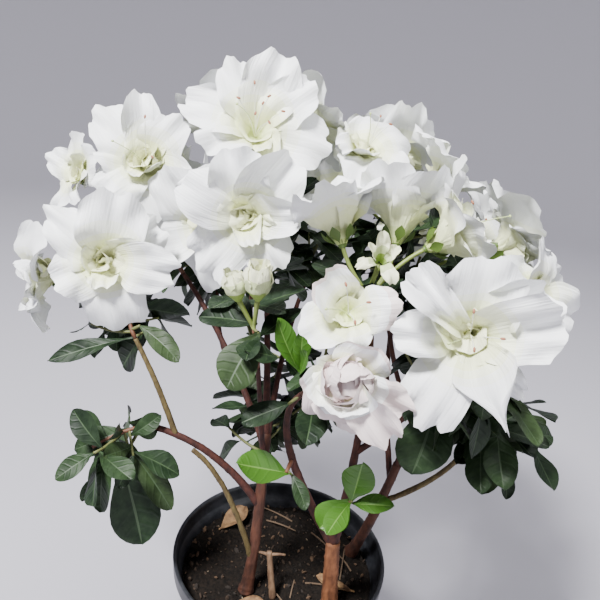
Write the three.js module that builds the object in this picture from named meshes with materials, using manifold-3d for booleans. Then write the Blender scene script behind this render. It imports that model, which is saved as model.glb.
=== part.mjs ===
// A white double azalea in flower, in its nursery pot: a clump of woody stems that rise from the potting
// mix, boughs that fork from them, and leafy masses that carry the blooms.
// Millimetres, +Z up, origin at the middle of the pot's flat underside.
import * as THREE from 'three';
import { mergeVertices } from 'three/addons/utils/BufferGeometryUtils.js';
import Module from 'manifold-3d';

const wasm = await Module();
wasm.setup();

// ---- Driving dimensions ----
const pot = {
  height: 100, rimRadius: 60, footRadius: 42, wall: 1.6, collarHeight: 10, collarStep: 2.4,
  facets: 28, drainHoles: 6, drainRadius: 4, drainCircle: 31,
};
const soil = { top: 88, edgeDrop: 3, facets: 28 };
const gap = 0.3; // air left between two nodes that touch
const seam = 0.05; // shorter edges along the joins inside a mass are closed up
const weld = 0.002; // corners lie on a grid this fine
const limbSides = { stem: 6, bough: 5 };
const leafForm = { length: 27, width: 13.5, thickness: 0.6, droop: 0.14, fold: 0.16 };
const youngForm = { length: 24, width: 11, thickness: 0.6, droop: -0.05, fold: 0.22 };
const twigForm = { length: 26, rootRadius: 1.0, tipRadius: 0.7, sides: 3 };
const petalForm = {
  throatRadius: 2.1, tubeLean: 9, tubeEnd: 0.1, limbStart: 0.6, curl: 22, thickness: 0.9, lineSteps: 12,
};
const spaceMargin = 0.5; // from the plane that parts two masses or two blooms
const goldenAngle = 137.5;
const bearings = 4; // tried in turn for each leaf
const leafSink = 0.9; // how far a leaf's stalk runs into the shoot that bears it
const leafSpacing = 3; // between one leaf's stalk and the next along a shoot

// ---- Places and directions ----
const radians = THREE.MathUtils.degToRad;

// A point given by its compass angle round the pot's axis, its reach from that axis and its height.
function at(azimuth, reach, height) {
  return new THREE.Vector3(reach * Math.cos(radians(azimuth)), reach * Math.sin(radians(azimuth)), height);
}

// A unit vector given by its compass angle and its rise above level.
function heading(azimuth, rise) {
  return at(azimuth, Math.cos(radians(rise)), Math.sin(radians(rise)));
}

// The point that lies `distance` from `start` along `direction`.
function along(start, direction, distance) {
  return start.clone().addScaledVector(direction, distance);
}

// Two unit vectors that stand square to an axis and to each other.
function sidesOf(axis) {
  const reference = Math.abs(axis.z) < 0.9 ? new THREE.Vector3(0, 0, 1) : new THREE.Vector3(1, 0, 0);
  const first = axis.clone().cross(reference).normalize();
  return [first, axis.clone().cross(first)];
}

// The curve that leaves `start`, passes `middle` halfway and ends at `end`.
function bow(start, middle, end) {
  const control = middle.clone().multiplyScalar(2).addScaledVector(start, -0.5).addScaledVector(end, -0.5);
  return new THREE.QuadraticBezierCurve3(start, control, end);
}

// A repeatable stream of numbers from 0 to 1.
function seeded(seed) {
  let state = seed * 7919 + 104729;
  return () => {
    state = (state * 48271) % 2147483647;
    return state / 2147483647;
  };
}

// ---- The plant's own measures ----
// Stems stand on the mix. A bough leaves its parent limb at a share of that limb's length, passes its
// middle point and ends at its tip, where a mass takes over.
const limbs = [
  { name: 'stem_right', foot: at(-44, 41, soil.top), middle: at(-43, 38, 110), tip: at(-45, 37, 134), radii: [4.4, 3.6], flare: 0.4 },
  { name: 'stem_left', foot: at(-129, 26, soil.top), middle: at(-132, 21, 124), tip: at(-162, 15, 180), radii: [3.2, 2.5], flare: 0.4 },
  { name: 'stem_back', foot: at(22, 46, soil.top), middle: at(3, 49, 128), tip: at(2, 57, 166), radii: [3.0, 2.3], flare: 0.4 },
  { name: 'bough_left', on: ['stem_left', 0.66], middle: at(-160, 41, 168), tip: at(-166, 70, 184), radii: [2.1, 1.6] },
  { name: 'bough_left_rise', on: ['bough_left', 0.86], middle: at(-168, 71, 207), tip: at(-172, 82, 229), radii: [1.5, 1.1] },
  { name: 'bough_pruned', on: ['stem_left', 0.3], middle: at(-146, 38, 154), tip: at(-156, 54, 177), radii: [1.5, 1.2] },
  { name: 'bough_left_back', on: ['stem_left', 0.93], middle: at(160, 42, 214), tip: at(154, 76, 248), radii: [1.8, 1.2] },
  { name: 'bough_top', on: ['stem_left', 0.98], middle: at(140, 26, 226), tip: at(133, 38, 272), radii: [2.0, 1.2] },
  { name: 'bough_centre', on: ['bough_top', 0.42], middle: at(170, 26, 228), tip: at(172, 29, 246), radii: [1.4, 1.1] },
  { name: 'bough_bud', on: ['stem_left', 0.86], middle: at(-140, 23, 196), tip: at(-136, 29, 226), radii: [1.5, 1.1] },
  { name: 'bough_front', on: ['stem_right', 0.94], middle: at(-96, 20, 184), tip: at(-88, 33, 222), radii: [2.5, 1.3] },
  { name: 'bough_right', on: ['stem_right', 0.96], middle: at(-42, 40, 184), tip: at(-44, 40, 246), radii: [2.6, 1.3] },
  { name: 'bough_right_front', on: ['bough_right', 0.55], middle: at(-34, 56, 212), tip: at(-32, 67, 232), radii: [1.6, 1.2] },
  { name: 'bough_right_back', on: ['stem_back', 0.94], middle: at(4, 65, 206), tip: at(6, 72, 246), radii: [1.9, 1.2] },
  { name: 'bough_crown', on: ['bough_right_back', 0.3], middle: at(28, 52, 225), tip: at(36, 50, 262), radii: [1.5, 1.1] },
  { name: 'bough_low_right', on: ['stem_back', 0.66], middle: at(-3, 78, 166), tip: at(-2, 91, 190), radii: [1.6, 1.2] },
  { name: 'bough_back_right', on: ['stem_back', 0.86], middle: at(38, 62, 200), tip: at(48, 76, 236), radii: [1.7, 1.2] },
  { name: 'bough_back', on: ['stem_left', 0.8], middle: at(110, 34, 200), tip: at(93, 62, 240), radii: [1.8, 1.2] },
  { name: 'bough_back_left', on: ['bough_left_back', 0.35], middle: at(140, 62, 212), tip: at(130, 84, 238), radii: [1.5, 1.1] },
];

// Each mass leaves a limb at a share of its length (1 is its tip) and ends in a head, from which the
// flower stalks fan out. `face` is the middle of a bloom's open mouth, and azimuth and rise say which
// way the bloom looks. `open` is how far its petals lean out from that direction.
const masses = [
  {
    name: 'mass_left_front', on: ['bough_left_rise', 1], head: at(176, 92, 244), collar: 7, twigs: 2, seed: 13,
    blooms: [
      { face: at(-176, 97, 265), azimuth: -76, rise: 17, length: 48, open: 92, petals: 6, inner: 4, turn: 8 },
      { face: at(-179, 128, 252), azimuth: -155, rise: 2, length: 38, open: 82, petals: 5, inner: 2, turn: 40 },
    ],
    leaves: [
      { base: at(-172, 82, 230), toward: at(-169, 123, 222), width: 9 },
      { base: at(-172, 80, 236), toward: at(-157, 61, 231), width: 11 },
      { base: at(-176, 79, 230), toward: at(-178, 93, 208), width: 18 },
    ],
  },
  { name: 'mass_left_low', on: ['bough_left', 1], head: at(-164, 101, 176), collar: 6, twigs: 2, seed: 25, blooms: [],
    leaves: [
      { base: at(-163, 88, 170), toward: at(-150, 76, 128), width: 25 },
      { base: at(-163, 84, 176), toward: at(-150, 62, 148), width: 13 },
    ],
  },
  {
    name: 'mass_left_back', on: ['bough_left_back', 1], head: at(153, 96, 274), collar: 6, twigs: 2, seed: 37,
    blooms: [
      { face: at(160, 95, 305), azimuth: -84, rise: 34, length: 48, open: 84, petals: 6, inner: 4, turn: 30 },
      { face: at(164, 130, 295), azimuth: -132, rise: 20, length: 36, open: 66, petals: 5, inner: 2, turn: 0 },
      { face: at(141, 116, 292), azimuth: 132, rise: 34, length: 45, open: 86, petals: 6, inner: 3, turn: 5 },
    ],
  },
  {
    name: 'mass_top', on: ['bough_top', 1], head: at(126, 44, 300), collar: 6, twigs: 2, seed: 41,
    blooms: [
      { face: at(150, 40, 329), azimuth: -83, rise: 38, length: 53, open: 90, petals: 6, inner: 3, turn: 12 },
      { face: at(98, 54, 330), azimuth: 20, rise: 40, length: 45, open: 80, petals: 6, inner: 2, turn: 50 },
      { face: at(134, 76, 326), azimuth: 128, rise: 42, length: 47, open: 88, petals: 6, inner: 3, turn: 33 },
    ],
  },
  {
    name: 'mass_centre', on: ['bough_centre', 1], head: at(160, 30, 268), collar: 5, twigs: 1, seed: 53,
    blooms: [
      { face: at(-171, 34, 294), azimuth: -88, rise: 8, length: 46, open: 90, petals: 6, inner: 4, turn: 22 },
      { face: at(161, 59, 280), azimuth: -118, rise: -6, length: 42, open: 84, petals: 5, inner: 2, turn: 20 },
    ],
  },
  {
    name: 'mass_bud', on: ['bough_bud', 1], head: at(-134, 35, 249), collar: 3, twigs: 1, seed: 67, blooms: [],
    buds: [
      { base: at(-139, 42, 262), toward: at(-143, 45, 276), radius: 5.2 },
      { base: at(-129, 37, 264), toward: at(-127, 38, 281), radius: 6.0 },
    ],
    leaves: [
      { base: at(-128, 35, 247), toward: at(-129, 56, 229), width: 20 },
      { base: at(-134, 34, 250), toward: at(-150, 55, 256), width: 12 },
      { base: at(-110, 33, 238), toward: at(-119, 49, 246), width: 11 },
    ],
  },
  {
    name: 'mass_front', on: ['bough_front', 1], head: at(-76, 45, 236), collar: 4, twigs: 1, seed: 71,
    blooms: [
      { face: at(-72, 49, 270), azimuth: -92, rise: 34, length: 40, open: 80, petals: 5, inner: 3, turn: 50 },
      { face: at(-73, 61, 247), azimuth: -98, rise: 0, length: 36, open: 82, petals: 6, inner: 6, turn: 20 },
    ],
    leaves: [
      { base: at(-92, 36, 234), toward: at(-113, 41, 258), width: 10, young: true },
      { base: at(-91, 37, 235), toward: at(-97, 37, 256), width: 8, young: true },
      { base: at(-93, 36, 232), toward: at(-88, 46, 250), width: 7, young: true },
      { base: at(-99, 30, 214), toward: at(-122, 47, 209), width: 12 },
    ],
  },
  {
    name: 'mass_sprig', on: ['bough_front', 0.42], head: at(-94, 30, 176), collar: 0, twigs: 0, seed: 83, blooms: [],
    leaves: [
      { base: at(-90, 29, 175), toward: at(-125, 46, 184), width: 16, young: true },
      { base: at(-88, 29, 174), toward: at(-75, 42, 166), width: 8 },
    ],
  },
  {
    name: 'mass_inner_right', on: ['bough_right', 0.24], head: at(-50, 47, 168), collar: 2, twigs: 0, seed: 89, blooms: [],
    leaves: [
      { base: at(-50, 46, 168), toward: at(-70, 51, 159), width: 17, young: true },
      { base: at(-49, 47, 168), toward: at(-49, 50, 193), width: 16, young: true },
    ],
  },
  {
    name: 'mass_umbel', on: ['bough_right', 1], head: at(-50, 36, 273), collar: 5, twigs: 1, seed: 97,
    blooms: [
      { face: at(-73, 21, 301), azimuth: 128, rise: 56, length: 38, open: 42, petals: 5, inner: 2, turn: 10 },
      { face: at(-11, 36, 302), azimuth: 80, rise: 62, length: 42, open: 46, petals: 5, inner: 3, turn: 30 },
      { face: at(-19, 61, 300), azimuth: 0, rise: 34, length: 44, open: 56, petals: 5, inner: 3, turn: 70 },
    ],
    buds: [{ base: at(-48, 40, 286), toward: at(-45, 40, 301), radius: 3.6 }],
  },
  {
    name: 'mass_crown', on: ['bough_crown', 1], head: at(44, 52, 286), collar: 5, twigs: 2, seed: 101,
    blooms: [
      { face: at(64, 44, 322), azimuth: -60, rise: 58, length: 42, open: 84, petals: 6, inner: 3, turn: 5 },
      { face: at(29, 66, 314), azimuth: 6, rise: 46, length: 42, open: 80, petals: 5, inner: 3, turn: 28 },
      { face: at(62, 82, 314), azimuth: 66, rise: 40, length: 47, open: 88, petals: 6, inner: 4, turn: 60 },
    ],
  },
  {
    name: 'mass_right_front', on: ['bough_right_front', 1], head: at(-26, 72, 246), collar: 6, twigs: 2, seed: 113,
    blooms: [
      { face: at(-40, 83, 268), azimuth: -103, rise: 20, length: 54, open: 94, petals: 6, inner: 3, turn: 2 },
    ],
    leaves: [
      { base: at(-30, 70, 228), toward: at(-44, 78, 200), width: 24 },
    ],
  },
  {
    name: 'mass_right', on: ['bough_right_back', 1], head: at(3, 84, 264), collar: 6, twigs: 2, seed: 127,
    blooms: [
      { face: at(-9, 98, 273), azimuth: -52, rise: 14, length: 45, open: 84, petals: 6, inner: 3, turn: 16 },
      { face: at(9, 92, 290), azimuth: 10, rise: 40, length: 42, open: 84, petals: 6, inner: 3, turn: 44 },
    ],
  },
  { name: 'mass_low_right', on: ['bough_low_right', 1], head: at(-4, 100, 206), collar: 6, twigs: 3, seed: 131, blooms: [] },
  {
    name: 'mass_back_right', on: ['bough_back_right', 1], head: at(46, 86, 254), collar: 7, twigs: 3, seed: 145,
    blooms: [
      { face: at(36, 112, 272), azimuth: 34, rise: 18, length: 47, open: 90, petals: 6, inner: 4, turn: 25 },
      { face: at(60, 108, 270), azimuth: 68, rise: 16, length: 45, open: 88, petals: 6, inner: 3, turn: 0 },
    ],
  },
  {
    name: 'mass_back', on: ['bough_back', 1], head: at(92, 76, 256), collar: 7, twigs: 3, seed: 157,
    blooms: [
      { face: at(84, 100, 286), azimuth: 86, rise: 32, length: 48, open: 90, petals: 6, inner: 4, turn: 18 },
      { face: at(102, 104, 262), azimuth: 104, rise: 10, length: 45, open: 88, petals: 6, inner: 3, turn: 45 },
    ],
  },
  {
    name: 'mass_back_left', on: ['bough_back_left', 1], head: at(132, 96, 250), collar: 7, twigs: 3, seed: 167,
    blooms: [
      { face: at(126, 122, 264), azimuth: 124, rise: 16, length: 47, open: 90, petals: 6, inner: 3, turn: 10 },
      { face: at(150, 126, 252), azimuth: 154, rise: 4, length: 42, open: 86, petals: 5, inner: 3, turn: 36 },
    ],
  },
  { name: 'mass_low_back', on: ['stem_left', 0.6], head: at(112, 52, 186), collar: 6, twigs: 4, seed: 179, blooms: [] },
];

// Dry leaves that have dropped on the mix, by the place of their stalk and of their tip.
const fallenLeaves = [
  { base: at(-128, 40, soil.top), toward: at(-97, 36, soil.top), width: 12, curl: 0.24 },
  { base: at(150, 44, soil.top), toward: at(122, 44, soil.top), width: 13, curl: 0.3 },
  { base: at(-18, 46, soil.top), toward: at(-26, 24, soil.top), width: 8, curl: 0.2 },
];
const fallenLift = gap; // under the stalk, where the leaf rests

// ---- Solids and meshes ----
function solidOf(geometry) {
  for (const name of Object.keys(geometry.attributes)) {
    if (name !== 'position') geometry.deleteAttribute(name);
  }
  const merged = mergeVertices(geometry, weld);
  const corners = merged.attributes.position.array;
  corners.forEach((value, i) => {
    corners[i] = Math.round(value / weld) * weld;
  });
  const faces = [];
  for (let i = 0; i < merged.index.count; i += 3) {
    const [a, b, c] = merged.index.array.slice(i, i + 3);
    if (a !== b && b !== c && c !== a) faces.push(a, b, c);
  }
  return new wasm.Manifold(new wasm.Mesh({
    numProp: 3,
    vertProperties: corners,
    triVerts: new Uint32Array(faces),
  }));
}

function geometryOf(solid) {
  const mesh = solid.getMesh();
  const corners = new Float32Array(mesh.numVert * 3);
  for (let i = 0; i < mesh.numVert; i++) {
    corners.set(mesh.vertProperties.subarray(i * mesh.numProp, i * mesh.numProp + 3), i * 3);
  }
  const geometry = new THREE.BufferGeometry();
  geometry.setAttribute('position', new THREE.BufferAttribute(corners, 3));
  geometry.setIndex(new THREE.BufferAttribute(mesh.triVerts, 1));
  return geometry;
}

// The largest piece of a solid: scraps that a cut leaves loose are dropped.
function largest(solid) {
  return solid.decompose().sort((a, b) => b.volume() - a.volume())[0];
}

// Whether each edge of a solid lies between two faces and no more.
function isClean(solid) {
  const order = mergeVertices(geometryOf(solid), weld / 2).index.array;
  const edges = new Set();
  for (let i = 0; i < order.length; i++) {
    const [a, b] = [order[i], order[i % 3 === 2 ? i - 2 : i + 1]];
    edges.add(`${Math.min(a, b)} ${Math.max(a, b)}`);
  }
  return 2 * edges.size === order.length;
}

// ---- Rods: stems, boughs, twigs and flower stalks ----
// A tapering cylinder bent along a curve. `spread` widens it, to cut clearance round it.
function rod(curve, radii, { sides, steps, flare = 0, spread = 0, roll = 0 }) {
  const geometry = new THREE.CylinderGeometry(1, 1, 1, sides, steps);
  geometry.rotateY(radians(roll));
  const position = geometry.attributes.position;
  for (let i = 0; i < position.count; i++) {
    const share = position.getY(i) + 0.5;
    const tangent = curve.getTangent(share);
    const [first, second] = sidesOf(tangent);
    const radius = radii[0] + (radii[1] - radii[0]) * share;
    const reach = radius * (1 + flare * Math.exp(-share * 14)) + spread;
    const point = curve.getPoint(share)
      .addScaledVector(first, position.getX(i) * reach)
      .addScaledVector(second, position.getZ(i) * reach);
    if (share === 0) point.addScaledVector(tangent, -spread);
    if (share === 1) point.addScaledVector(tangent, spread);
    position.setXYZ(i, point.x, point.y, point.z);
  }
  const solid = solidOf(geometry);
  return solid.volume() < 0 ? mirrored(geometry) : solid;
}

// The same surface with each face turned round.
function mirrored(geometry) {
  const order = geometry.index.array;
  for (let i = 0; i < order.length; i += 3) [order[i + 1], order[i + 2]] = [order[i + 2], order[i + 1]];
  return solidOf(geometry);
}

// ---- Blades: leaves and petals ----
// A thin solid with a sharp rim. Its rim runs counterclockwise, seen from the side of `above`.
function blade(rim, above, below) {
  const geometry = new THREE.SphereGeometry(1, rim.length, 2);
  const position = geometry.attributes.position;
  const perRow = rim.length + 1;
  for (let i = 0; i < position.count; i++) {
    const row = Math.floor(i / perRow);
    const point = [above, rim[(i % perRow) % rim.length], below][row];
    position.setXYZ(i, point.x, point.y, point.z);
  }
  const solid = solidOf(geometry);
  return solid.volume() < 0 ? mirrored(geometry) : solid;
}

// Half the width of a leaf, as a share of its widest, from its stalk (0) to its tip (1).
function leafOutline(share) {
  const past = Math.max(0, (share - 0.08) / 0.92);
  return Math.sin(Math.PI * past ** 1.15) ** 0.75;
}

// A point of a leaf: `share` runs from stalk to tip, and `side` from -1 to 1 across it.
function leafPoint(leaf, share, side) {
  const half = (leaf.width / 2) * leafOutline(Math.min(share, 0.9999));
  const lift = leaf.form.fold * half * Math.abs(side) - leaf.form.droop * leaf.length * share * share;
  return along(leaf.base, leaf.direction, leaf.length * share)
    .addScaledVector(leaf.left, half * side)
    .addScaledVector(leaf.normal, lift);
}

// A leaf's edge, as shares of its length and of its half width.
const roundRim = [[0, 0], [0.38, -1], [0.76, -1], [1, 0], [0.76, 1], [0.38, 1]];
const plainRim = [[0, 0], [0.58, -1], [1, 0], [0.58, 1]];
const leafProbes = [[0.36, -1], [0.7, -1], [1, 0], [0.7, 1], [0.36, 1], [0.3, 0], [0.5, 0], [0.75, 0]];

function leafSolid(leaf) {
  const middle = leafPoint(leaf, 0.55, 0);
  const half = leaf.form.thickness / 2;
  return blade(leaf.rim.map(([share, side]) => leafPoint(leaf, share, side)),
    along(middle, leaf.normal, half), along(middle, leaf.normal, -half));
}

// A leaf that grows from `base` along `direction`, with its upper face turned as near `up` as it can.
function makeLeaf(base, direction, up, length, width, form, rim = plainRim) {
  const normal = up.clone().addScaledVector(direction, -up.dot(direction)).normalize();
  const left = normal.clone().cross(direction);
  return { base, direction, normal, left, length, width, form, rim };
}

// ---- Blooms ----
// The midline of a petal: its distance from the bloom's axis and its height up that axis. It climbs the
// tube, then leans out by `open` degrees, and its tip curls back.
function petalLine(length, open) {
  const line = [{ r: petalForm.throatRadius, z: 0 }];
  for (let i = 1; i <= petalForm.lineSteps; i++) {
    const share = (i - 0.5) / petalForm.lineSteps;
    const lean = petalForm.tubeLean
      + (open - petalForm.tubeLean) * THREE.MathUtils.smoothstep(share, petalForm.tubeEnd, petalForm.limbStart)
      + petalForm.curl * Math.max(0, share - petalForm.limbStart) / (1 - petalForm.limbStart);
    const last = line[i - 1];
    const step = length / petalForm.lineSteps;
    line.push({ r: last.r + step * Math.sin(radians(lean)), z: last.z + step * Math.cos(radians(lean)) });
  }
  return line;
}

function onLine(line, share) {
  const spot = Math.min(share, 0.9999) * petalForm.lineSteps;
  const low = Math.floor(spot);
  const [a, b] = [line[low], line[low + 1]];
  return { r: a.r + (b.r - a.r) * (spot - low), z: a.z + (b.z - a.z) * (spot - low) };
}

// Two whorls of petals: the outer one is laid open, and the inner one stands up in its mouth.
function makeBloom(row) {
  const axis = heading(row.azimuth, row.rise);
  const [right, up] = sidesOf(axis);
  const root = along(row.face, axis, -0.3 * row.length);
  const outer = Array.from({ length: row.petals }, (_, i) => (
    { length: row.length, open: row.open + (i % 2 ? 7 : -5) }
  ));
  const inner = Array.from({ length: row.inner }, (_, i) => (
    { length: row.length * (0.52 - 0.05 * (i % 3)), open: 0.55 * row.open + 9 * (i % 3) }
  ));
  const whorls = [
    { petals: outer, rim: outerRim, turn: row.turn, lift: 0 },
    { petals: inner, rim: innerRim, turn: row.turn + 25, lift: coreShare * row.length + 0.7 },
  ];
  return { ...row, axis, right, up, root, whorls, reach: onLine(petalLine(row.length, row.open), 1).r };
}

// A petal's edge, one row per point: its turn across the petal from -0.5 to 0.5, its share of the
// petal's length, and its ripple up or down. The first is the notch beside the next petal.
const outerRim = [[-0.5, 0.74, 0], [-0.26, 0.97, 0.05], [0, 1, -0.02], [0.26, 0.96, -0.05]];
const innerRim = [[-0.5, 0.6, 0], [-0.05, 1, 0.04]];
const foldShare = 0.42; // where a petal leaves the tube
const coreShare = 0.1; // how far up the tube the whorl is solid

// A point of a whorl: `turn` runs across petal number `index`, and `share` along it.
function petalPoint(bloom, whorl, index, turn, share, ripple = 0) {
  const petal = whorl.petals[index];
  const { r, z } = onLine(petalLine(petal.length, petal.open), share);
  const angle = radians(whorl.turn + (360 * (index + turn)) / whorl.petals.length);
  return bloom.root.clone()
    .addScaledVector(bloom.right, r * Math.cos(angle))
    .addScaledVector(bloom.up, r * Math.sin(angle))
    .addScaledVector(bloom.axis, z + whorl.lift + ripple * petal.length);
}

// What a petal tries, by its share of its full length and by how far it stands up, in degrees.
const petalStances = [[1, 0], [0.97, 8], [0.92, 14], [0.86, 18], [0.79, 21], [0.72, 23], [0.64, 25], [0.56, 26]];
const leastOpen = 12;

// A petal stands up, and is then drawn back, until it lies in its mass's space.
function fitPetals(bloom, whorl, fits) {
  const petals = whorl.petals.map((petal, index) => {
    const drawn = petalStances.map(([size, raised]) => (
      { length: petal.length * size, open: Math.max(leastOpen, petal.open - raised) }));
    return drawn.find((trial) => {
      const held = { ...whorl, petals: whorl.petals.with(index, trial) };
      return whorl.rim.every(([turn, share]) => fits(petalPoint(bloom, held, index, turn, share)));
    }) ?? drawn.at(-1);
  });
  return { ...whorl, petals };
}

// One whorl as a thin ruffled funnel, with one corner per petal where the petals leave the tube. A notch
// lies midway between the two petals that it parts.
function whorlSolid(bloom, whorl) {
  const count = whorl.petals.length;
  const columns = count * whorl.rim.length;
  const top = along(bloom.root, bloom.axis, coreShare * whorl.petals[0].length + whorl.lift);
  const foot = along(bloom.root, bloom.axis, whorl.lift);
  const geometry = new THREE.SphereGeometry(1, columns, 4);
  const position = geometry.attributes.position;
  for (let i = 0; i < position.count; i++) {
    const row = Math.floor(i / (columns + 1));
    const column = (i % (columns + 1)) % columns;
    const index = Math.floor(column / whorl.rim.length);
    const [turn, share, ripple] = whorl.rim[column % whorl.rim.length];
    const onRim = row === 2;
    const point = petalPoint(bloom, whorl, index, onRim ? turn : 0, onRim ? share : foldShare, onRim ? ripple : 0);
    if (onRim && turn === -0.5) {
      point.lerp(petalPoint(bloom, whorl, (index + count - 1) % count, 0.5, share), 0.5);
    }
    if (row === 3) point.addScaledVector(bloom.axis, -petalForm.thickness);
    if (row === 0) point.copy(top);
    if (row === 4) point.copy(foot);
    position.setXYZ(i, point.x, point.y, point.z);
  }
  const solid = solidOf(geometry);
  return solid.volume() < 0 ? mirrored(geometry) : solid;
}

function openWhorls(bloom) {
  return bloom.whorls.filter((whorl) => whorl.petals.length > 1);
}

function budSolid(bud) {
  const axis = bud.toward.clone().sub(bud.base);
  const geometry = new THREE.SphereGeometry(1, 6, 4);
  geometry.scale(bud.radius, axis.length() / 2 + 1, bud.radius);
  geometry.applyQuaternion(new THREE.Quaternion().setFromUnitVectors(new THREE.Vector3(0, 1, 0), axis.clone().normalize()));
  geometry.translate(...along(bud.base, axis, 0.5).toArray());
  return solidOf(geometry);
}

// ---- Growth ----
function limbCurve(limb, made) {
  const start = limb.foot ? along(limb.foot, new THREE.Vector3(0, 0, 1), gap)
    : made.get(limb.on[0]).curve.getPoint(limb.on[1]);
  return bow(start, limb.middle, limb.tip);
}

// Stems and boughs, each cut clear of the limbs made before it.
function makeLimbs() {
  const made = new Map();
  for (const limb of limbs) {
    const curve = limbCurve(limb, made);
    const shape = limb.foot
      ? { sides: limbSides.stem, steps: 6, flare: limb.flare } : { sides: limbSides.bough, steps: 4 };
    let solid = rod(curve, limb.radii, shape);
    if (limb.name === 'bough_pruned') solid = solid.add(stubBud(curve));
    for (const other of made.values()) solid = solid.subtract(other.clearance);
    made.set(limb.name, {
      ...limb, curve, solid: limb.foot ? levelFoot(solid) : largest(solid),
      clearance: rod(curve, limb.radii, { ...shape, spread: gap }),
    });
  }
  return made;
}

// A stem's foot is cut level, just clear of the mix.
function levelFoot(solid) {
  const below = new THREE.BoxGeometry(200, 200, 20);
  below.translate(0, 0, soil.top + gap - 10);
  return largest(solid.subtract(solidOf(below)));
}

// The swollen bud at the end of the shoot that was pruned.
function stubBud(curve) {
  const tip = curve.getPoint(1);
  return budSolid({ base: along(tip, curve.getTangent(1), -2.5), toward: along(tip, curve.getTangent(1), 3), radius: 2.2 });
}

// A cut stub between the stems, with the two dead side shoots that it kept.
function makeStub(made) {
  const stub = { foot: at(-93, 24, soil.top + gap), tip: at(-108, 19, 115), armLength: 9, armRise: 8 };
  const solids = [rod(new THREE.LineCurve3(stub.foot, stub.tip), [1.9, 1.5], { sides: 5, steps: 1 })];
  for (const azimuth of [0, 180]) {
    const root = along(stub.tip, heading(0, 90), -2.5);
    solids.push(rod(new THREE.LineCurve3(root, along(root, heading(azimuth, stub.armRise), stub.armLength)),
      [1, 0.7], { sides: 4, steps: 1 }));
  }
  let solid = wasm.Manifold.union(solids);
  for (const limb of made.values()) solid = solid.subtract(limb.clearance);
  return levelFoot(solid);
}

function makeBlooms() {
  for (const mass of masses) mass.blooms = mass.blooms.map(makeBloom);
}

// The middle of the space that a mass keeps to: the mean of its head and its blooms' mouths.
function siteOf(mass) {
  const marks = [mass.head, ...mass.blooms.map((bloom) => bloom.face)];
  return marks.reduce((sum, mark) => sum.add(mark), new THREE.Vector3()).divideScalar(marks.length);
}

// Whether a point lies on the first mark's side of the plane halfway between two marks.
function nearer(point, mark, otherMark) {
  const apart = mark.clone().sub(otherMark).normalize();
  const middle = mark.clone().lerp(otherMark, 0.5);
  return point.clone().sub(middle).dot(apart) > spaceMargin;
}

function inSpace(point, mass) {
  return masses.every((other) => other === mass || nearer(point, mass.site, other.site));
}

// Whether a point is in or in front of an open bloom, where no leaf grows.
function hidesBloom(point) {
  return masses.some((mass) => mass.blooms.some((bloom) => {
    const offset = point.clone().sub(bloom.root);
    const ahead = offset.dot(bloom.axis);
    const aside = Math.sqrt(Math.max(0, offset.lengthSq() - ahead * ahead));
    return ahead > 0.12 * bloom.length && ahead < 1.6 * bloom.length && aside < 0.96 * bloom.reach;
  }));
}

const limbProbes = 12;

function touchesLimb(point, made, clear) {
  for (const limb of made.values()) {
    for (let i = 0; i <= limbProbes; i++) {
      if (limb.curve.getPoint(i / limbProbes).distanceTo(point) < limb.radii[0] + clear) return true;
    }
  }
  return false;
}

// Leaves set round the end of a shoot at the golden angle. Each tries a few bearings before it is given up.
function whorl(shoot, count, form, random, fits) {
  const axis = shoot.getTangent(1);
  const [first, second] = sidesOf(axis);
  const spacing = leafSpacing / shoot.getLength();
  const leaves = [];
  for (let i = 0; i < count; i++) {
    const length = form.length * (0.72 + 0.5 * random());
    const roll = radians(50 * (random() - 0.5));
    const spread = 16 * random();
    for (let attempt = 0; attempt < bearings; attempt++) {
      const turn = radians(goldenAngle * i + 40 + 55 * attempt);
      const tilt = radians(44 + 9 * i + 14 * attempt + spread);
      const direction = axis.clone().multiplyScalar(Math.cos(tilt))
        .addScaledVector(first, Math.cos(turn) * Math.sin(tilt))
        .addScaledVector(second, Math.sin(turn) * Math.sin(tilt));
      direction.z -= 0.12;
      direction.normalize();
      const up = axis.clone().multiplyScalar(0.5);
      up.z += 0.6;
      up.applyAxisAngle(direction, roll);
      const width = form.width * (length / form.length);
      const leaf = makeLeaf(shoot.getPoint(0.98 - spacing * i), direction, up, length, width, form);
      if (leafProbes.every(([share, side]) => fits(leafPoint(leaf, share, side)))) {
        leaves.push(leaf);
        break;
      }
    }
  }
  return leaves;
}

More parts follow.
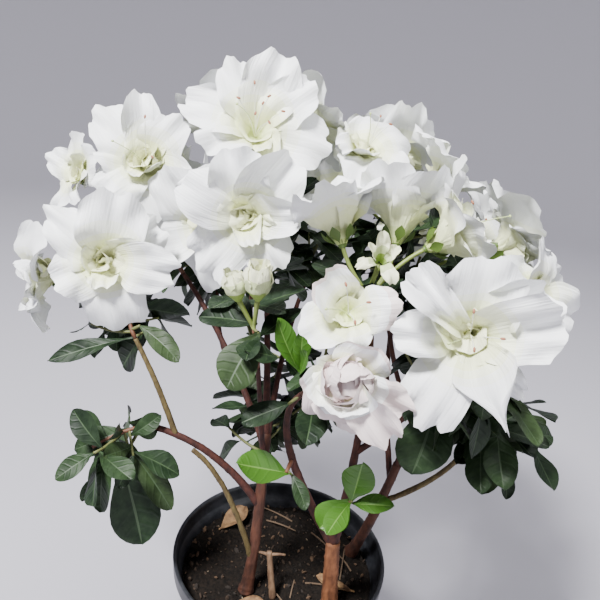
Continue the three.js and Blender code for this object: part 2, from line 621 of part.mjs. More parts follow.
// One mass: a stem from its limb to its head, twigs off that stem with a whorl each, a collar of leaves
// under the head, and the flower stalks, blooms and buds.
function growMass(mass, made) {
  const random = seeded(mass.seed);
  const parent = made.get(mass.on[0]);
  const atTip = mass.on[1] === 1;
  const tangent = parent.curve.getTangent(mass.on[1]);
  const start = along(parent.curve.getPoint(mass.on[1]), tangent, atTip ? gap : 0);
  const run = start.distanceTo(mass.head);
  const lean = atTip ? along(start, tangent, run * 0.35) : start.clone().lerp(mass.head, 0.5);
  const stem = new THREE.QuadraticBezierCurve3(start, lean, mass.head);
  const stemRadii = [Math.min(parent.radii[1], 1.3), 0.9];
  const fits = (point) => inSpace(point, mass);
  const isFree = (point) => fits(point) && !hidesBloom(point) && !touchesLimb(point, made, 1.2);
  const rods = [[stem, stemRadii, 4]];
  const leaves = [];
  for (let i = 0; i < mass.twigs; i++) {
    const share = 0.2 + (0.6 * (i + 0.5)) / mass.twigs;
    const root = stem.getPoint(share);
    const axis = stem.getTangent(share);
    const [first, second] = sidesOf(axis);
    const turn = radians(goldenAngle * i + 90 * random());
    const tilt = radians(48 + 26 * random());
    const length = twigForm.length * (0.7 + 0.5 * random());
    const direction = axis.clone().multiplyScalar(Math.cos(tilt))
      .addScaledVector(first, Math.cos(turn) * Math.sin(tilt))
      .addScaledVector(second, Math.sin(turn) * Math.sin(tilt));
    const tip = along(root, direction, length);
    tip.z += 0.15 * length;
    const middle = along(root, direction, length * 0.5);
    const twig = bow(root, middle, tip);
    const around = whorl(twig, 4 + Math.floor(2 * random()), leafForm, random, isFree);
    if ([0.4, 0.7, 1].every((s) => isFree(twig.getPoint(s)))) {
      rods.push([twig, [twigForm.rootRadius, twigForm.tipRadius], 2]);
      leaves.push(...around);
    }
  }
  leaves.push(...whorl(stem, mass.collar, leafForm, random, isFree));
  for (const row of mass.leaves ?? []) {
    const span = row.toward.clone().sub(row.base);
    const form = row.young ? youngForm : leafForm;
    const direction = span.clone().normalize();
    const nearest = stem.getPoint(closestShare(stem, row.base));
    rods.push([new THREE.LineCurve3(nearest, row.base), [0.8, 0.7], 1]);
    leaves.push(makeLeaf(along(row.base, direction, -leafSink), direction, new THREE.Vector3(0, -0.55, 0.85),
      span.length() + leafSink, row.width, form, roundRim));
  }
  return { mass, stem, rods, leaves, fits };
}

// How far along a curve its nearest point to `point` lies.
function closestShare(curve, point) {
  let best = 0;
  for (let i = 0; i <= 20; i++) {
    if (curve.getPoint(i / 20).distanceTo(point) < curve.getPoint(best).distanceTo(point)) best = i / 20;
  }
  return best;
}

function massSolid({ mass, stem, rods, leaves, fits }, made, roll) {
  const solids = rods.map(([curve, radii, steps]) => rod(curve, radii, { sides: twigForm.sides, steps, roll }));
  solids.push(...leaves.map(leafSolid));
  for (const [i, bloom] of mass.blooms.entries()) {
    const core = along(bloom.root, bloom.axis, coreShare * bloom.length + 1.6);
    const control = along(core, bloom.axis, -0.5 * core.distanceTo(mass.head));
    const stalk = new THREE.QuadraticBezierCurve3(stem.getPoint(0.97 - 0.04 * i), control, core);
    solids.push(rod(stalk, [0.95 - 0.05 * i, 1], { sides: 3, steps: 3, roll }));
    const own = (point) => fits(point) && mass.blooms.every((other) => (
      other === bloom || nearer(point, bloom.face, other.face)));
    solids.push(...openWhorls(bloom).map((whorl) => whorlSolid(bloom, fitPetals(bloom, whorl, own))));
  }
  for (const bud of mass.buds ?? []) {
    solids.push(rod(new THREE.LineCurve3(stem.getPoint(0.96), bud.base), [0.9, 1.2], { sides: 3, steps: 1 }), budSolid(bud));
  }
  let solid = wasm.Manifold.union(solids);
  for (const limb of made.values()) solid = solid.subtract(limb.clearance);
  return largest(solidOf(geometryOf(largest(solid).simplify(seam))));
}

// A mass with its twigs rolled about their length until no two of its corners fall together.
function cleanMass(grown, made) {
  const rolls = [0, 17, 34, 51, 68, 85, 102];
  let solid = null;
  for (const roll of rolls) {
    solid = massSolid(grown, made, roll);
    if (isClean(solid)) break;
  }
  return solid;
}

// ---- Pot, mix and fallen leaves ----
// A round body from half its section, given as pairs of radius and height.
function turned(section, facets) {
  const geometry = new THREE.LatheGeometry(section.map(([r, z]) => new THREE.Vector2(r, z)), facets);
  geometry.rotateX(Math.PI / 2);
  const solid = solidOf(geometry);
  return solid.volume() < 0 ? mirrored(geometry) : solid;
}

// The inside radius of the pot's wall at a height.
function potInside(height) {
  const taper = (pot.rimRadius - pot.collarStep - pot.footRadius) / (pot.height - pot.collarHeight);
  return pot.footRadius - pot.wall + taper * height;
}

function makePot() {
  const shoulder = pot.height - pot.collarHeight;
  const inShoulder = pot.rimRadius - pot.collarStep;
  const lip = pot.rimRadius - 0.4;
  const solid = turned([
    [0, 0], [pot.footRadius - 1.2, 0], [pot.footRadius, 1.2], [inShoulder, shoulder - 1.5], [lip, shoulder],
    [pot.rimRadius, pot.height - 0.8], [lip, pot.height], [lip - pot.wall, pot.height],
    [lip - pot.wall - 0.5, shoulder + 1.5], [potInside(shoulder - 1.5), shoulder - 1],
    [potInside(pot.wall), pot.wall], [0, pot.wall],
  ], pot.facets);
  const holes = Array.from({ length: pot.drainHoles }, (_, i) => {
    const hole = new THREE.CylinderGeometry(pot.drainRadius, pot.drainRadius, 3 * pot.wall, 8);
    hole.rotateX(Math.PI / 2);
    hole.translate(...at((360 * i) / pot.drainHoles, pot.drainCircle, 0.5 * pot.wall).toArray());
    return solidOf(hole);
  });
  return solid.subtract(wasm.Manifold.union(holes));
}

function makeSoil() {
  const bottom = pot.wall + gap;
  const edge = soil.top - soil.edgeDrop;
  return turned([
    [0, bottom], [potInside(bottom) - 2 * gap, bottom], [potInside(edge) - 2 * gap, edge],
    [potInside(edge) - 8, soil.top], [0, soil.top],
  ], soil.facets);
}

function makeFallenLeaf(row) {
  const span = row.toward.clone().sub(row.base);
  const form = { thickness: 0.7, droop: -row.curl, fold: 0.3 };
  return leafSolid(makeLeaf(along(row.base, heading(0, 90), fallenLift), span.clone().normalize(),
    heading(0, 90), span.length(), row.width, form, roundRim));
}

// ---- Assembly ----
const finishes = {
  pot: new THREE.MeshStandardMaterial({ color: 0x14161a, roughness: 0.5, metalness: 0 }),
  soil: new THREE.MeshStandardMaterial({ color: 0x231a15, roughness: 0.95, metalness: 0 }),
  bark: new THREE.MeshStandardMaterial({ color: 0x6a3524, roughness: 0.8, metalness: 0 }),
  blossom: new THREE.MeshStandardMaterial({ color: 0xeceee6, roughness: 0.55, metalness: 0 }),
  foliage: new THREE.MeshStandardMaterial({ color: 0x3c6238, roughness: 0.5, metalness: 0 }),
  dryLeaf: new THREE.MeshStandardMaterial({ color: 0x8e6a3a, roughness: 0.85, metalness: 0 }),
};

const azalea = new THREE.Group();

function addNode(name, solid, finish) {
  const geometry = geometryOf(solid);
  geometry.computeVertexNormals();
  const mesh = new THREE.Mesh(geometry, finish);
  mesh.name = name;
  azalea.add(mesh);
}

addNode('pot', makePot(), finishes.pot);
addNode('potting_mix', makeSoil(), finishes.soil);
fallenLeaves.forEach((row, i) => addNode(`fallen_leaf_${i + 1}`, makeFallenLeaf(row), finishes.dryLeaf));

const made = makeLimbs();
for (const limb of made.values()) addNode(limb.name, limb.solid, finishes.bark);
addNode('stem_stub', makeStub(made), finishes.bark);

makeBlooms();
for (const mass of masses) mass.site = siteOf(mass);
for (const mass of masses) {
  const grown = growMass(mass, made);
  addNode(mass.name, cleanMass(grown, made), mass.blooms.length ? finishes.blossom : finishes.foliage);
}

export default azalea;
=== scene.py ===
import math

import bmesh
import bpy
import numpy as np
from mathutils import Matrix, Quaternion, Vector, noise


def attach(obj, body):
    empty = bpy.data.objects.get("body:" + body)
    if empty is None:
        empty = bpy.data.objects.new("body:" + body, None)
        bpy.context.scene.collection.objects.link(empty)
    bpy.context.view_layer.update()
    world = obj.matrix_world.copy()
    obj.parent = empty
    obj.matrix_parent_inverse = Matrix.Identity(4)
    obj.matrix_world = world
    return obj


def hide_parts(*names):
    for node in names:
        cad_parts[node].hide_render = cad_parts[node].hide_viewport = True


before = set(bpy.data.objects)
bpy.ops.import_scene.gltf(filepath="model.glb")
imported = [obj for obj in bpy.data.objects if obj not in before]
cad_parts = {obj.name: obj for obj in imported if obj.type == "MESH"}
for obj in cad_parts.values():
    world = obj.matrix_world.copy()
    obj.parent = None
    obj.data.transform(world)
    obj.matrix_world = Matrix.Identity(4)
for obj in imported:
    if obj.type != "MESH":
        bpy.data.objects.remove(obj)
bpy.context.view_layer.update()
print("frame loaded:", len(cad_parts), "nodes")

# Lengths of the plant and the pot are in millimetres, and go into the meshes as metres.
mm = 0.001
soilTop = 88.0
goldenAngle = 137.5


def at(azimuth, reach, height):
    turn = math.radians(azimuth)
    return Vector((reach * math.cos(turn), reach * math.sin(turn), height))


def heading(azimuth, rise):
    return at(azimuth, math.cos(math.radians(rise)), math.sin(math.radians(rise)))


def sidesOf(axis):
    reference = Vector((0, 0, 1)) if abs(axis.z) < 0.9 else Vector((1, 0, 0))
    first = axis.cross(reference).normalized()
    return first, axis.cross(first)


def smooth(value, low, high):
    share = min(1.0, max(0.0, (value - low) / (high - low)))
    return share * share * (3 - 2 * share)


def between(pair, share):
    return pair[0] + (pair[1] - pair[0]) * share


def blend(first, second, share):
    return tuple(between(pair, share) for pair in zip(first, second))


def seeded(seed):
    # a repeatable stream of numbers from 0 to 1
    factor, modulus = 48271, 2147483647
    state = seed * 7919 + 104729
    while True:
        state = state * factor % modulus
        yield state / modulus


class Curve:
    # leaves start, passes middle halfway and ends at end; control can be given instead of middle
    def __init__(self, start, middle, end, control=None):
        self.start = start
        self.end = end
        self.control = control or middle * 2 - (start + end) / 2
        steps = [self.point(i / 20) for i in range(21)]
        self.length = sum((b - a).length for a, b in zip(steps, steps[1:]))

    def point(self, share):
        rest = 1 - share
        return self.start * (rest * rest) + self.control * (2 * rest * share) + self.end * (share * share)

    def tangent(self, share):
        return ((self.control - self.start) * (1 - share) + (self.end - self.control) * share).normalized()


def straight(start, end):
    return Curve(start, (start + end) / 2, end)


# A stem's foot is a place, and a bough's is the limb it leaves and how far along that.
def limbRow(name, foot, middle, tip, radii):
    return dict(name=name, foot=foot, middle=middle, tip=tip, radii=radii)


# A bloom: the middle of its mouth, the way it looks, its petals' length and lean, and their counts.
def bloomRow(face, azimuth, rise, length, lean, petals, inner, turn, **more):
    return dict(kind="bloom", face=face, azimuth=azimuth, rise=rise, length=length, lean=lean,
                petals=petals, inner=inner, turn=turn, **more)


def budRow(base, toward, **more):
    return dict(kind="bud", base=base, toward=toward, **more)


def leafRow(base, toward, width, young=False):
    return dict(kind="leaf", base=base, toward=toward, width=width, young=young)


# One outer petal: where it lies, counted from the right as one looks in, its length and its half width
# as shares of the bloom's length, and its lean and curl.
def petalRow(around, length, half, lean, curl, **more):
    return dict(around=around, length=length, half=half, lean=lean, curl=curl, **more)


# A mass: its bough and how far along that it starts, its head, and how many leaves ring the head and
# twigs leave its stem. Its rows are blooms, buds and leaves with a place of their own. All leaves of a
# fresh mass are young.
def massRow(name, bough, share, head, collar, twigs, seed, *rows, fresh=False):
    def pick(kind):
        return [row for row in rows if row["kind"] == kind]
    return dict(name=name, bough=bough, share=share, head=head, collar=collar, twigs=twigs, seed=seed,
                fresh=fresh, blooms=pick("bloom"), buds=pick("bud"), leaves=pick("leaf"))


limbs = [
    limbRow("stem_right", at(-44, 41, soilTop), at(-43, 38, 110), at(-45, 37, 134), (4.4, 3.6)),
    limbRow("stem_left", at(-129, 26, soilTop), at(-132, 21, 124), at(-162, 15, 180), (3.2, 2.5)),
    limbRow("stem_back", at(22, 46, soilTop), at(3, 49, 128), at(2, 57, 166), (3.0, 2.3)),
    limbRow("bough_left", ("stem_left", 0.66), at(-160, 41, 168), at(-166, 70, 184), (2.1, 1.6)),
    limbRow("bough_left_rise", ("bough_left", 0.86), at(-168, 71, 207), at(-172, 82, 229), (1.5, 1.1)),
    limbRow("bough_pruned", ("stem_left", 0.3), at(-146, 38, 154), at(-156, 54, 177), (1.5, 1.2)),
    limbRow("bough_left_back", ("stem_left", 0.93), at(160, 42, 214), at(154, 76, 248), (1.8, 1.2)),
    limbRow("bough_top", ("stem_left", 0.98), at(140, 26, 226), at(133, 38, 272), (2.0, 1.2)),
    limbRow("bough_centre", ("bough_top", 0.42), at(170, 26, 228), at(172, 29, 246), (1.4, 1.1)),
    limbRow("bough_bud", ("stem_left", 0.86), at(-140, 23, 196), at(-136, 29, 226), (1.5, 1.1)),
    limbRow("bough_front", ("stem_right", 0.94), at(-96, 20, 184), at(-88, 33, 222), (2.5, 1.3)),
    limbRow("bough_right", ("stem_right", 0.96), at(-42, 40, 184), at(-44, 40, 246), (2.6, 1.3)),
    limbRow("bough_right_front", ("bough_right", 0.55), at(-34, 56, 212), at(-32, 67, 232), (1.6, 1.2)),
    limbRow("bough_right_back", ("stem_back", 0.94), at(4, 65, 206), at(6, 72, 246), (1.9, 1.2)),
    limbRow("bough_crown", ("bough_right_back", 0.3), at(28, 52, 225), at(36, 50, 262), (1.5, 1.1)),
    limbRow("bough_low_right", ("stem_back", 0.66), at(-3, 78, 166), at(-2, 91, 190), (1.6, 1.2)),
    limbRow("bough_back_right", ("stem_back", 0.86), at(38, 62, 200), at(48, 76, 236), (1.7, 1.2)),
    limbRow("bough_back", ("stem_left", 0.8), at(110, 34, 200), at(93, 62, 240), (1.8, 1.2)),
    limbRow("bough_back_left", ("bough_left_back", 0.35), at(140, 62, 212), at(130, 84, 238), (1.5, 1.1)),
]

# The petals of the blooms that show best.
leftPlan = [
    petalRow(80, 0.98, 0.37, 80, 12, cup=0.12, blunt=0.26, lift=1.5),
    petalRow(140, 1.00, 0.34, 90, 20, blunt=0.42, taper=0.3, notch=-0.04, lift=0),
    petalRow(207, 0.98, 0.36, 84, 30, blunt=0.24, lift=1.2),
    petalRow(283, 1.00, 0.35, 96, 40, cup=-0.1, blunt=0.16, ruffle=0.02, lift=0.4),
    petalRow(352, 0.98, 0.28, 78, 30, cup=0.15, blunt=0.3, notch=0.06, lift=2.2),
    petalRow(35, 0.90, 0.30, 98, 20, lift=-0.6),
]
leftBackPlan = [
    petalRow(137, 1.00, 0.33, 80, 20, blunt=0.3, lift=0.4),
    petalRow(98, 0.98, 0.22, 72, 20, lift=1.2),
    petalRow(52, 0.98, 0.30, 80, 30, lift=0.5),
    petalRow(338, 0.96, 0.29, 92, 40, lift=0),
    petalRow(178, 1.00, 0.31, 84, 40, lift=1.0),
    petalRow(225, 0.95, 0.33, 90, 40, lift=0.2),
    petalRow(290, 0.90, 0.31, 94, 40, lift=0.6),
]
topPlan = [
    petalRow(112, 1.00, 0.29, 76, 20, notch=0.05, lift=0.5),
    petalRow(70, 1.04, 0.31, 70, 5, cup=0.2, lift=1.2),
    petalRow(36, 1.02, 0.26, 82, 30, blunt=0.35, lift=2.0),
    petalRow(346, 1.02, 0.33, 88, 40, blunt=0.24, lift=0.4),
    petalRow(166, 1.02, 0.30, 88, 30, taper=0.15, lift=0.2),
    petalRow(208, 0.96, 0.32, 78, 45, cup=-0.2, lift=1.4),
    petalRow(285, 0.92, 0.30, 92, 40, lift=0),
]
centrePlan = [
    petalRow(103, 0.95, 0.31, 74, 10, ruffle=0.07, lift=1),
    petalRow(52, 1.02, 0.33, 80, 30, lift=0),
    petalRow(8, 0.98, 0.27, 74, 50, cup=0.3, lift=1.5),
    petalRow(155, 1.00, 0.31, 66, 60, cup=-0.3, lift=0.5),
    petalRow(236, 0.95, 0.33, 88, 40, cup=-0.2, blunt=0.22, lift=0.6),
    petalRow(308, 1.08, 0.34, 92, 35, blunt=0.2, lift=0),
]
frontPlan = [
    petalRow(138, 0.98, 0.37, 70, 20, blunt=0.2, notch=0.1, lift=0.6),
    petalRow(90, 0.85, 0.28, 84, 30),
    petalRow(8, 1.08, 0.34, 62, 75, cup=-0.3, blunt=0.25, lift=1.5),
    petalRow(212, 0.74, 0.30, 80, 40, lift=0),
    petalRow(290, 0.90, 0.28, 66, 130, cup=-0.6, lift=1.0),
]
rosettePlan = [
    petalRow(262, 0.98, 0.48, 98, 40, blunt=0.2, lift=-1),
    petalRow(236, 0.82, 0.44, 84, 30, blunt=0.2, lift=1),
    petalRow(316, 1.20, 0.30, 84, 24, blunt=0.26, lift=2),
    petalRow(250, 0.74, 0.44, 50, -75, blunt=0.24, flat=0.3, lift=2),
    petalRow(172, 0.58, 0.28, 62, 60, ruffle=0.08, lift=1),
    petalRow(340, 1.15, 0.28, 96, 20, lift=-1),
    petalRow(60, 0.80, 0.38, 70, 0),
]
rightPlan = [
    petalRow(86, 0.95, 0.35, 66, 20, cup=0.1, blunt=0.3, lift=1.0),
    petalRow(141, 1.24, 0.15, 76, 30, cup=0.5, blunt=0.12, taper=-0.4, lift=2.0),
    petalRow(186, 1.24, 0.27, 84, 35, blunt=0.3, lift=0.8),
    petalRow(250, 1.12, 0.27, 92, 45, blunt=0.16, taper=-0.1, lift=0.2),
    petalRow(302, 1.05, 0.30, 86, 16, cup=0.25, blunt=0.3, skew=0, taper=0.94, taperFrom=0.55, ruffle=0.02,
             lift=2.4),
    petalRow(20, 0.96, 0.28, 76, 30, blunt=0.22, notch=-0.05, lift=1.6),
    petalRow(36, 0.98, 0.30, 96, 20, lift=-0.5),
    petalRow(320, 0.86, 0.17, 104, 20, lift=-1),
]
# A small flower that is just opening.
openingPlan = [
    petalRow(200, 1.00, 0.20, 60, 110, cup=-0.3, ruffle=0.05),
    petalRow(290, 1.05, 0.22, 66, 90, cup=-0.3, ruffle=0.05),
    petalRow(30, 0.80, 0.20, 40, 20, cup=0.4),
    petalRow(100, 1.05, 0.24, 26, 10, cup=0.5),
    petalRow(150, 0.80, 0.20, 34, 10, cup=0.4),
]

masses = [
    massRow("mass_left_front", "bough_left_rise", 1, at(176, 92, 244), 7, 2, 13,
        bloomRow(at(-176, 97, 265), -76, 17, 48, 92, 6, 4, 8, stamens=0, plan=leftPlan, size=0.92),
        bloomRow(at(-179, 128, 252), -155, 2, 38, 82, 5, 2, 40, stamens=0),
        leafRow(at(-172, 82, 230), at(-169, 123, 222), 9),
        leafRow(at(-172, 80, 236), at(-157, 61, 231), 11),
        leafRow(at(-176, 79, 230), at(-178, 93, 208), 18)),
    massRow("mass_left_low", "bough_left", 1, at(-164, 101, 176), 6, 2, 25,
        leafRow(at(-163, 88, 170), at(-150, 76, 128), 25),
        leafRow(at(-163, 84, 176), at(-150, 62, 148), 13)),
    massRow("mass_left_back", "bough_left_back", 1, at(153, 96, 274), 6, 2, 37,
        bloomRow(at(160, 95, 305), -84, 34, 48, 84, 6, 4, 30, plan=leftBackPlan, size=0.94),
        bloomRow(at(164, 130, 295), -132, 20, 36, 66, 5, 2, 0, stamens=0, size=0.76),
        bloomRow(at(141, 116, 292), 132, 34, 45, 86, 6, 3, 5)),
    massRow("mass_top", "bough_top", 1, at(126, 44, 300), 6, 2, 41,
        bloomRow(at(150, 40, 329), -83, 38, 53, 90, 6, 3, 12, stamens=8, plan=topPlan,
                 size=0.87, innerKept=2),
        bloomRow(at(98, 54, 330), 20, 40, 45, 80, 6, 2, 50, stamenReach=0.65, size=0.88),
        bloomRow(at(134, 76, 326), 128, 42, 47, 88, 6, 3, 33)),
    massRow("mass_centre", "bough_centre", 1, at(160, 30, 268), 5, 1, 53,
        bloomRow(at(-171, 34, 294), -88, 8, 46, 90, 6, 4, 22, stamens=0, plan=centrePlan, size=0.96),
        bloomRow(at(161, 59, 280), -118, -6, 42, 84, 5, 2, 20, stamens=0, over=10, size=1.05)),
    massRow("mass_bud", "bough_bud", 1, at(-134, 35, 249), 3, 1, 67,
        budRow(at(-139, 42, 262), at(-143, 45, 276), frills=1),
        budRow(at(-129, 37, 264), at(-127, 39, 281), frills=4),
        leafRow(at(-128, 35, 247), at(-129, 56, 229), 20),
        leafRow(at(-134, 34, 250), at(-150, 55, 256), 12),
        leafRow(at(-110, 33, 238), at(-119, 49, 246), 11)),
    massRow("mass_front", "bough_front", 1, at(-76, 45, 236), 4, 1, 71,
        # Both blooms of this mass take the blush colour, which is a pink tint with painted shade in it.
        bloomRow(at(-72, 49, 270), -92, 34, 40, 80, 5, 1, 50, blush=True, stamens=4,
                 plan=frontPlan, size=0.92, innerKept=1),
        bloomRow(at(-73, 61, 247), -98, 0, 36, 82, 6, 6, 20, blush=True, rosette=True,
                 stamens=0, plan=rosettePlan, size=0.9),
        leafRow(at(-92, 36, 234), at(-113, 41, 258), 10, True),
        leafRow(at(-91, 37, 235), at(-97, 37, 256), 8, True),
        leafRow(at(-93, 36, 232), at(-88, 46, 250), 7, True),
        leafRow(at(-99, 30, 214), at(-122, 47, 209), 12)),
    massRow("mass_sprig", "bough_front", 0.42, at(-94, 30, 176), 0, 0, 83,
        leafRow(at(-90, 29, 175), at(-125, 46, 184), 16, True),
        leafRow(at(-88, 29, 174), at(-75, 42, 166), 8)),
    massRow("mass_inner_right", "bough_right", 0.24, at(-50, 47, 168), 2, 0, 89,
        leafRow(at(-50, 46, 168), at(-70, 51, 159), 17, True),
        leafRow(at(-49, 47, 168), at(-49, 50, 193), 16, True), fresh=True),
    massRow("mass_umbel", "bough_right", 1, at(-50, 36, 273), 5, 1, 97,
        bloomRow(at(-73, 21, 301), 128, 56, 38, 50, 5, 2, 10, stamens=0),
        bloomRow(at(-11, 36, 302), 80, 62, 42, 52, 5, 3, 30, stamens=0),
        bloomRow(at(-19, 61, 300), 0, 34, 44, 58, 5, 3, 70),
        budRow(at(-49, 40, 286), at(-56, 49, 300), plan=openingPlan, green=0.28, size=0.8)),
    massRow("mass_crown", "bough_crown", 1, at(44, 52, 286), 5, 2, 101,
        bloomRow(at(64, 44, 322), -60, 58, 42, 84, 6, 3, 5, size=0.88),
        bloomRow(at(29, 66, 314), 6, 46, 42, 80, 5, 3, 28, stamenReach=0.6),
        bloomRow(at(62, 82, 314), 66, 40, 47, 88, 6, 4, 60, stamenReach=0.75)),
    massRow("mass_right_front", "bough_right_front", 1, at(-26, 72, 246), 6, 2, 113,
        bloomRow(at(-40, 83, 268), -103, 20, 54, 94, 6, 3, 2, stamens=4, plan=rightPlan,
                 size=0.89, over=9),
        leafRow(at(-30, 70, 228), at(-44, 78, 200), 24)),
    massRow("mass_right", "bough_right_back", 1, at(3, 84, 264), 6, 2, 127,
        bloomRow(at(-9, 98, 273), -52, 14, 45, 84, 6, 3, 16, size=0.8, stamenReach=0.65),
        bloomRow(at(9, 92, 290), 10, 40, 42, 84, 6, 3, 44, stamenReach=0.65)),
    massRow("mass_low_right", "bough_low_right", 1, at(-4, 100, 206), 6, 3, 131),
    massRow("mass_back_right", "bough_back_right", 1, at(46, 86, 254), 7, 3, 145,
        bloomRow(at(36, 112, 272), 34, 18, 47, 90, 6, 4, 25),
        bloomRow(at(60, 108, 270), 68, 16, 45, 88, 6, 3, 0)),
    massRow("mass_back", "bough_back", 1, at(92, 76, 256), 7, 3, 157,
        bloomRow(at(84, 100, 286), 86, 32, 48, 90, 6, 4, 18),
        bloomRow(at(102, 104, 262), 104, 10, 45, 88, 6, 3, 45)),
    massRow("mass_back_left", "bough_back_left", 1, at(132, 96, 250), 7, 3, 167,
        bloomRow(at(126, 122, 264), 124, 16, 47, 90, 6, 3, 10),
        bloomRow(at(150, 126, 252), 154, 4, 42, 86, 5, 3, 36)),
    massRow("mass_low_back", "stem_left", 0.6, at(112, 52, 186), 6, 4, 179),
]


def newMaterial(name, color, roughness, **sockets):
    material = bpy.data.materials.new(name)
    material.use_nodes = True
    shader = material.node_tree.nodes["Principled BSDF"]
    shader.inputs["Base Color"].default_value = (*color, 1)
    shader.inputs["Roughness"].default_value = roughness
    for socket, value in sockets.items():
        shader.inputs[socket.replace("_", " ")].default_value = value
    return material


def addNode(material, kind, feeds, **values):
    # feeds gives the socket that feeds each input
    node = material.node_tree.nodes.new(kind)
    for key, value in values.items():
        if key in node.inputs:
            node.inputs[key].default_value = value
        else:
            setattr(node, key, value)
    for key, source in feeds.items():
        material.node_tree.links.new(source, node.inputs[key])
    return node


def addMath(material, operation, first, *rest):
    # rest are the other inputs, numbers or sockets
    node = addNode(material, "ShaderNodeMath", {0: first}, operation=operation)
    for number, value in enumerate(rest, 1):
        if isinstance(value, float):
            node.inputs[number].default_value = value
        else:
            material.node_tree.links.new(value, node.inputs[number])
    return node.outputs[0]


def addBump(material, height, strength, distance, invert=False):
    # a bump that adds to any the material already has
    links = material.node_tree.links
    normal = material.node_tree.nodes["Principled BSDF"].inputs["Normal"]
    relief = addNode(material, "ShaderNodeBump", {"Height": height}, Strength=strength, Distance=distance,
                     invert=invert)
    if normal.links:
        links.new(normal.links[0].from_socket, relief.inputs["Normal"])
    links.new(relief.outputs["Normal"], normal)


def addMottle(material, dark, light, scale, bump, detail=6.0, stretch=(1, 1, 1), low=0.35, high=0.65):
    # cloudy colour between dark and light, and a matching bump, on Object coordinates
    coords = addNode(material, "ShaderNodeTexCoord", {})
    mapping = addNode(material, "ShaderNodeMapping", {"Vector": coords.outputs["Object"]}, Scale=stretch)
    cloud = addNode(material, "ShaderNodeTexNoise", {"Vector": mapping.outputs["Vector"]}, Scale=scale,
                    Detail=detail, Roughness=0.6)
    ramp = addNode(material, "ShaderNodeValToRGB", {"Fac": cloud.outputs["Fac"]})
    for stop, position, color in zip(ramp.color_ramp.elements, (low, high), (dark, light)):
        stop.position = position
        stop.color = (*color, 1)
    shader = material.node_tree.nodes["Principled BSDF"]
    material.node_tree.links.new(ramp.outputs["Color"], shader.inputs["Base Color"])
    addBump(material, cloud.outputs["Fac"], bump, 0.0006)
    return material


def meshFrom(name, bm, unit=mm):
    for vert in bm.verts:
        vert.co *= unit
    mesh = bpy.data.meshes.new(name)
    bm.to_mesh(mesh)
    bm.free()
    return mesh


def linkObject(name, data):
    item = bpy.data.objects.new(name, data)
    bpy.context.scene.collection.objects.link(item)
    return item


def finishPiece(name, bm, materials, nodes, shade=True, closed=False):
    if closed:
        bmesh.ops.recalc_face_normals(bm, faces=bm.faces)
    mesh = meshFrom(name, bm)
    for material in materials:
        mesh.materials.append(material)
    if shade:
        mesh.shade_smooth()
    piece = linkObject(name, mesh)
    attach(piece, "root")
    if nodes:
        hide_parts(*nodes)
    print("piece:", name, len(mesh.polygons), "faces")
    return piece


def facesFrom(bm, start):
    bm.faces.ensure_lookup_table()
    return [bm.faces[i] for i in range(start, len(bm.faces))]


def paintFrom(bm, start, slotIndex):
    for face in facesFrom(bm, start):
        face.material_index = slotIndex


def spinProfile(profile, turns, weld):
    # turns a row of (radius, height) pairs once around the upright axis
    bm = bmesh.new()
    points = [bm.verts.new((r, 0, z)) for r, z in profile]
    edges = [bm.edges.new(pair) for pair in zip(points, points[1:])]
    bmesh.ops.spin(bm, geom=points + edges, cent=(0, 0, 0), axis=(0, 0, 1), angle=math.tau, steps=turns,
                   use_merge=True)
    bmesh.ops.remove_doubles(bm, verts=bm.verts, dist=weld)
    return bm


def addGrid(bm, columns, rows):
    # a flat grid; its vertices come with (across from -1 to 1, along from 0 to 1)
    start = len(bm.faces)
    made = bmesh.ops.create_grid(bm, x_segments=columns, y_segments=rows, size=1.0)
    return [(vert, vert.co.x, (vert.co.y + 1) / 2) for vert in made["verts"]], facesFrom(bm, start)


def addBall(bm, place, turn, size, slotIndex):
    start = len(bm.faces)
    bmesh.ops.create_icosphere(bm, subdivisions=1, radius=1.0, matrix=Matrix.LocRotScale(place, turn, size))
    paintFrom(bm, start, slotIndex)


def addTube(bm, curve, radii, sides, rings, relief=None, flare=0.0, slotIndex=0):
    # rings of a tapering tube pushed along a curve, closed at both ends
    start = len(bm.faces)
    ring = bmesh.ops.create_circle(bm, cap_ends=False, segments=sides, radius=1.0)["verts"]
    turns = [math.atan2(vert.co.y, vert.co.x) for vert in ring]
    edges = list({edge for vert in ring for edge in vert.link_edges})
    first = ring
    normal = sidesOf(curve.tangent(0))[0]
    for step in range(rings + 1):
        share = step / rings
        tangent = curve.tangent(share)
        normal = (normal - tangent * normal.dot(tangent)).normalized()
        across = tangent.cross(normal)
        radius = between(radii, share) * (1 + flare * math.exp(-14 * share))
        if step:
            pushed = bmesh.ops.extrude_edge_only(bm, edges=edges)["geom"]
            fresh = [item for item in pushed if isinstance(item, bmesh.types.BMVert)]
            edges = [item for item in pushed if isinstance(item, bmesh.types.BMEdge)
                     and all(vert in fresh for vert in item.verts)]
            ring = [next(edge.other_vert(old) for edge in old.link_edges if edge.other_vert(old) in fresh)
                    for old in ring]
        centre = curve.point(share)
        for vert, turn in zip(ring, turns):
            outward = normal * math.cos(turn) + across * math.sin(turn)
            reach = radius * (1 + (relief(share, turn, centre + outward * radius) if relief else 0))
            vert.co = centre + outward * reach
    bm.faces.new(first)
    bm.faces.new(ring)
    paintFrom(bm, start, slotIndex)


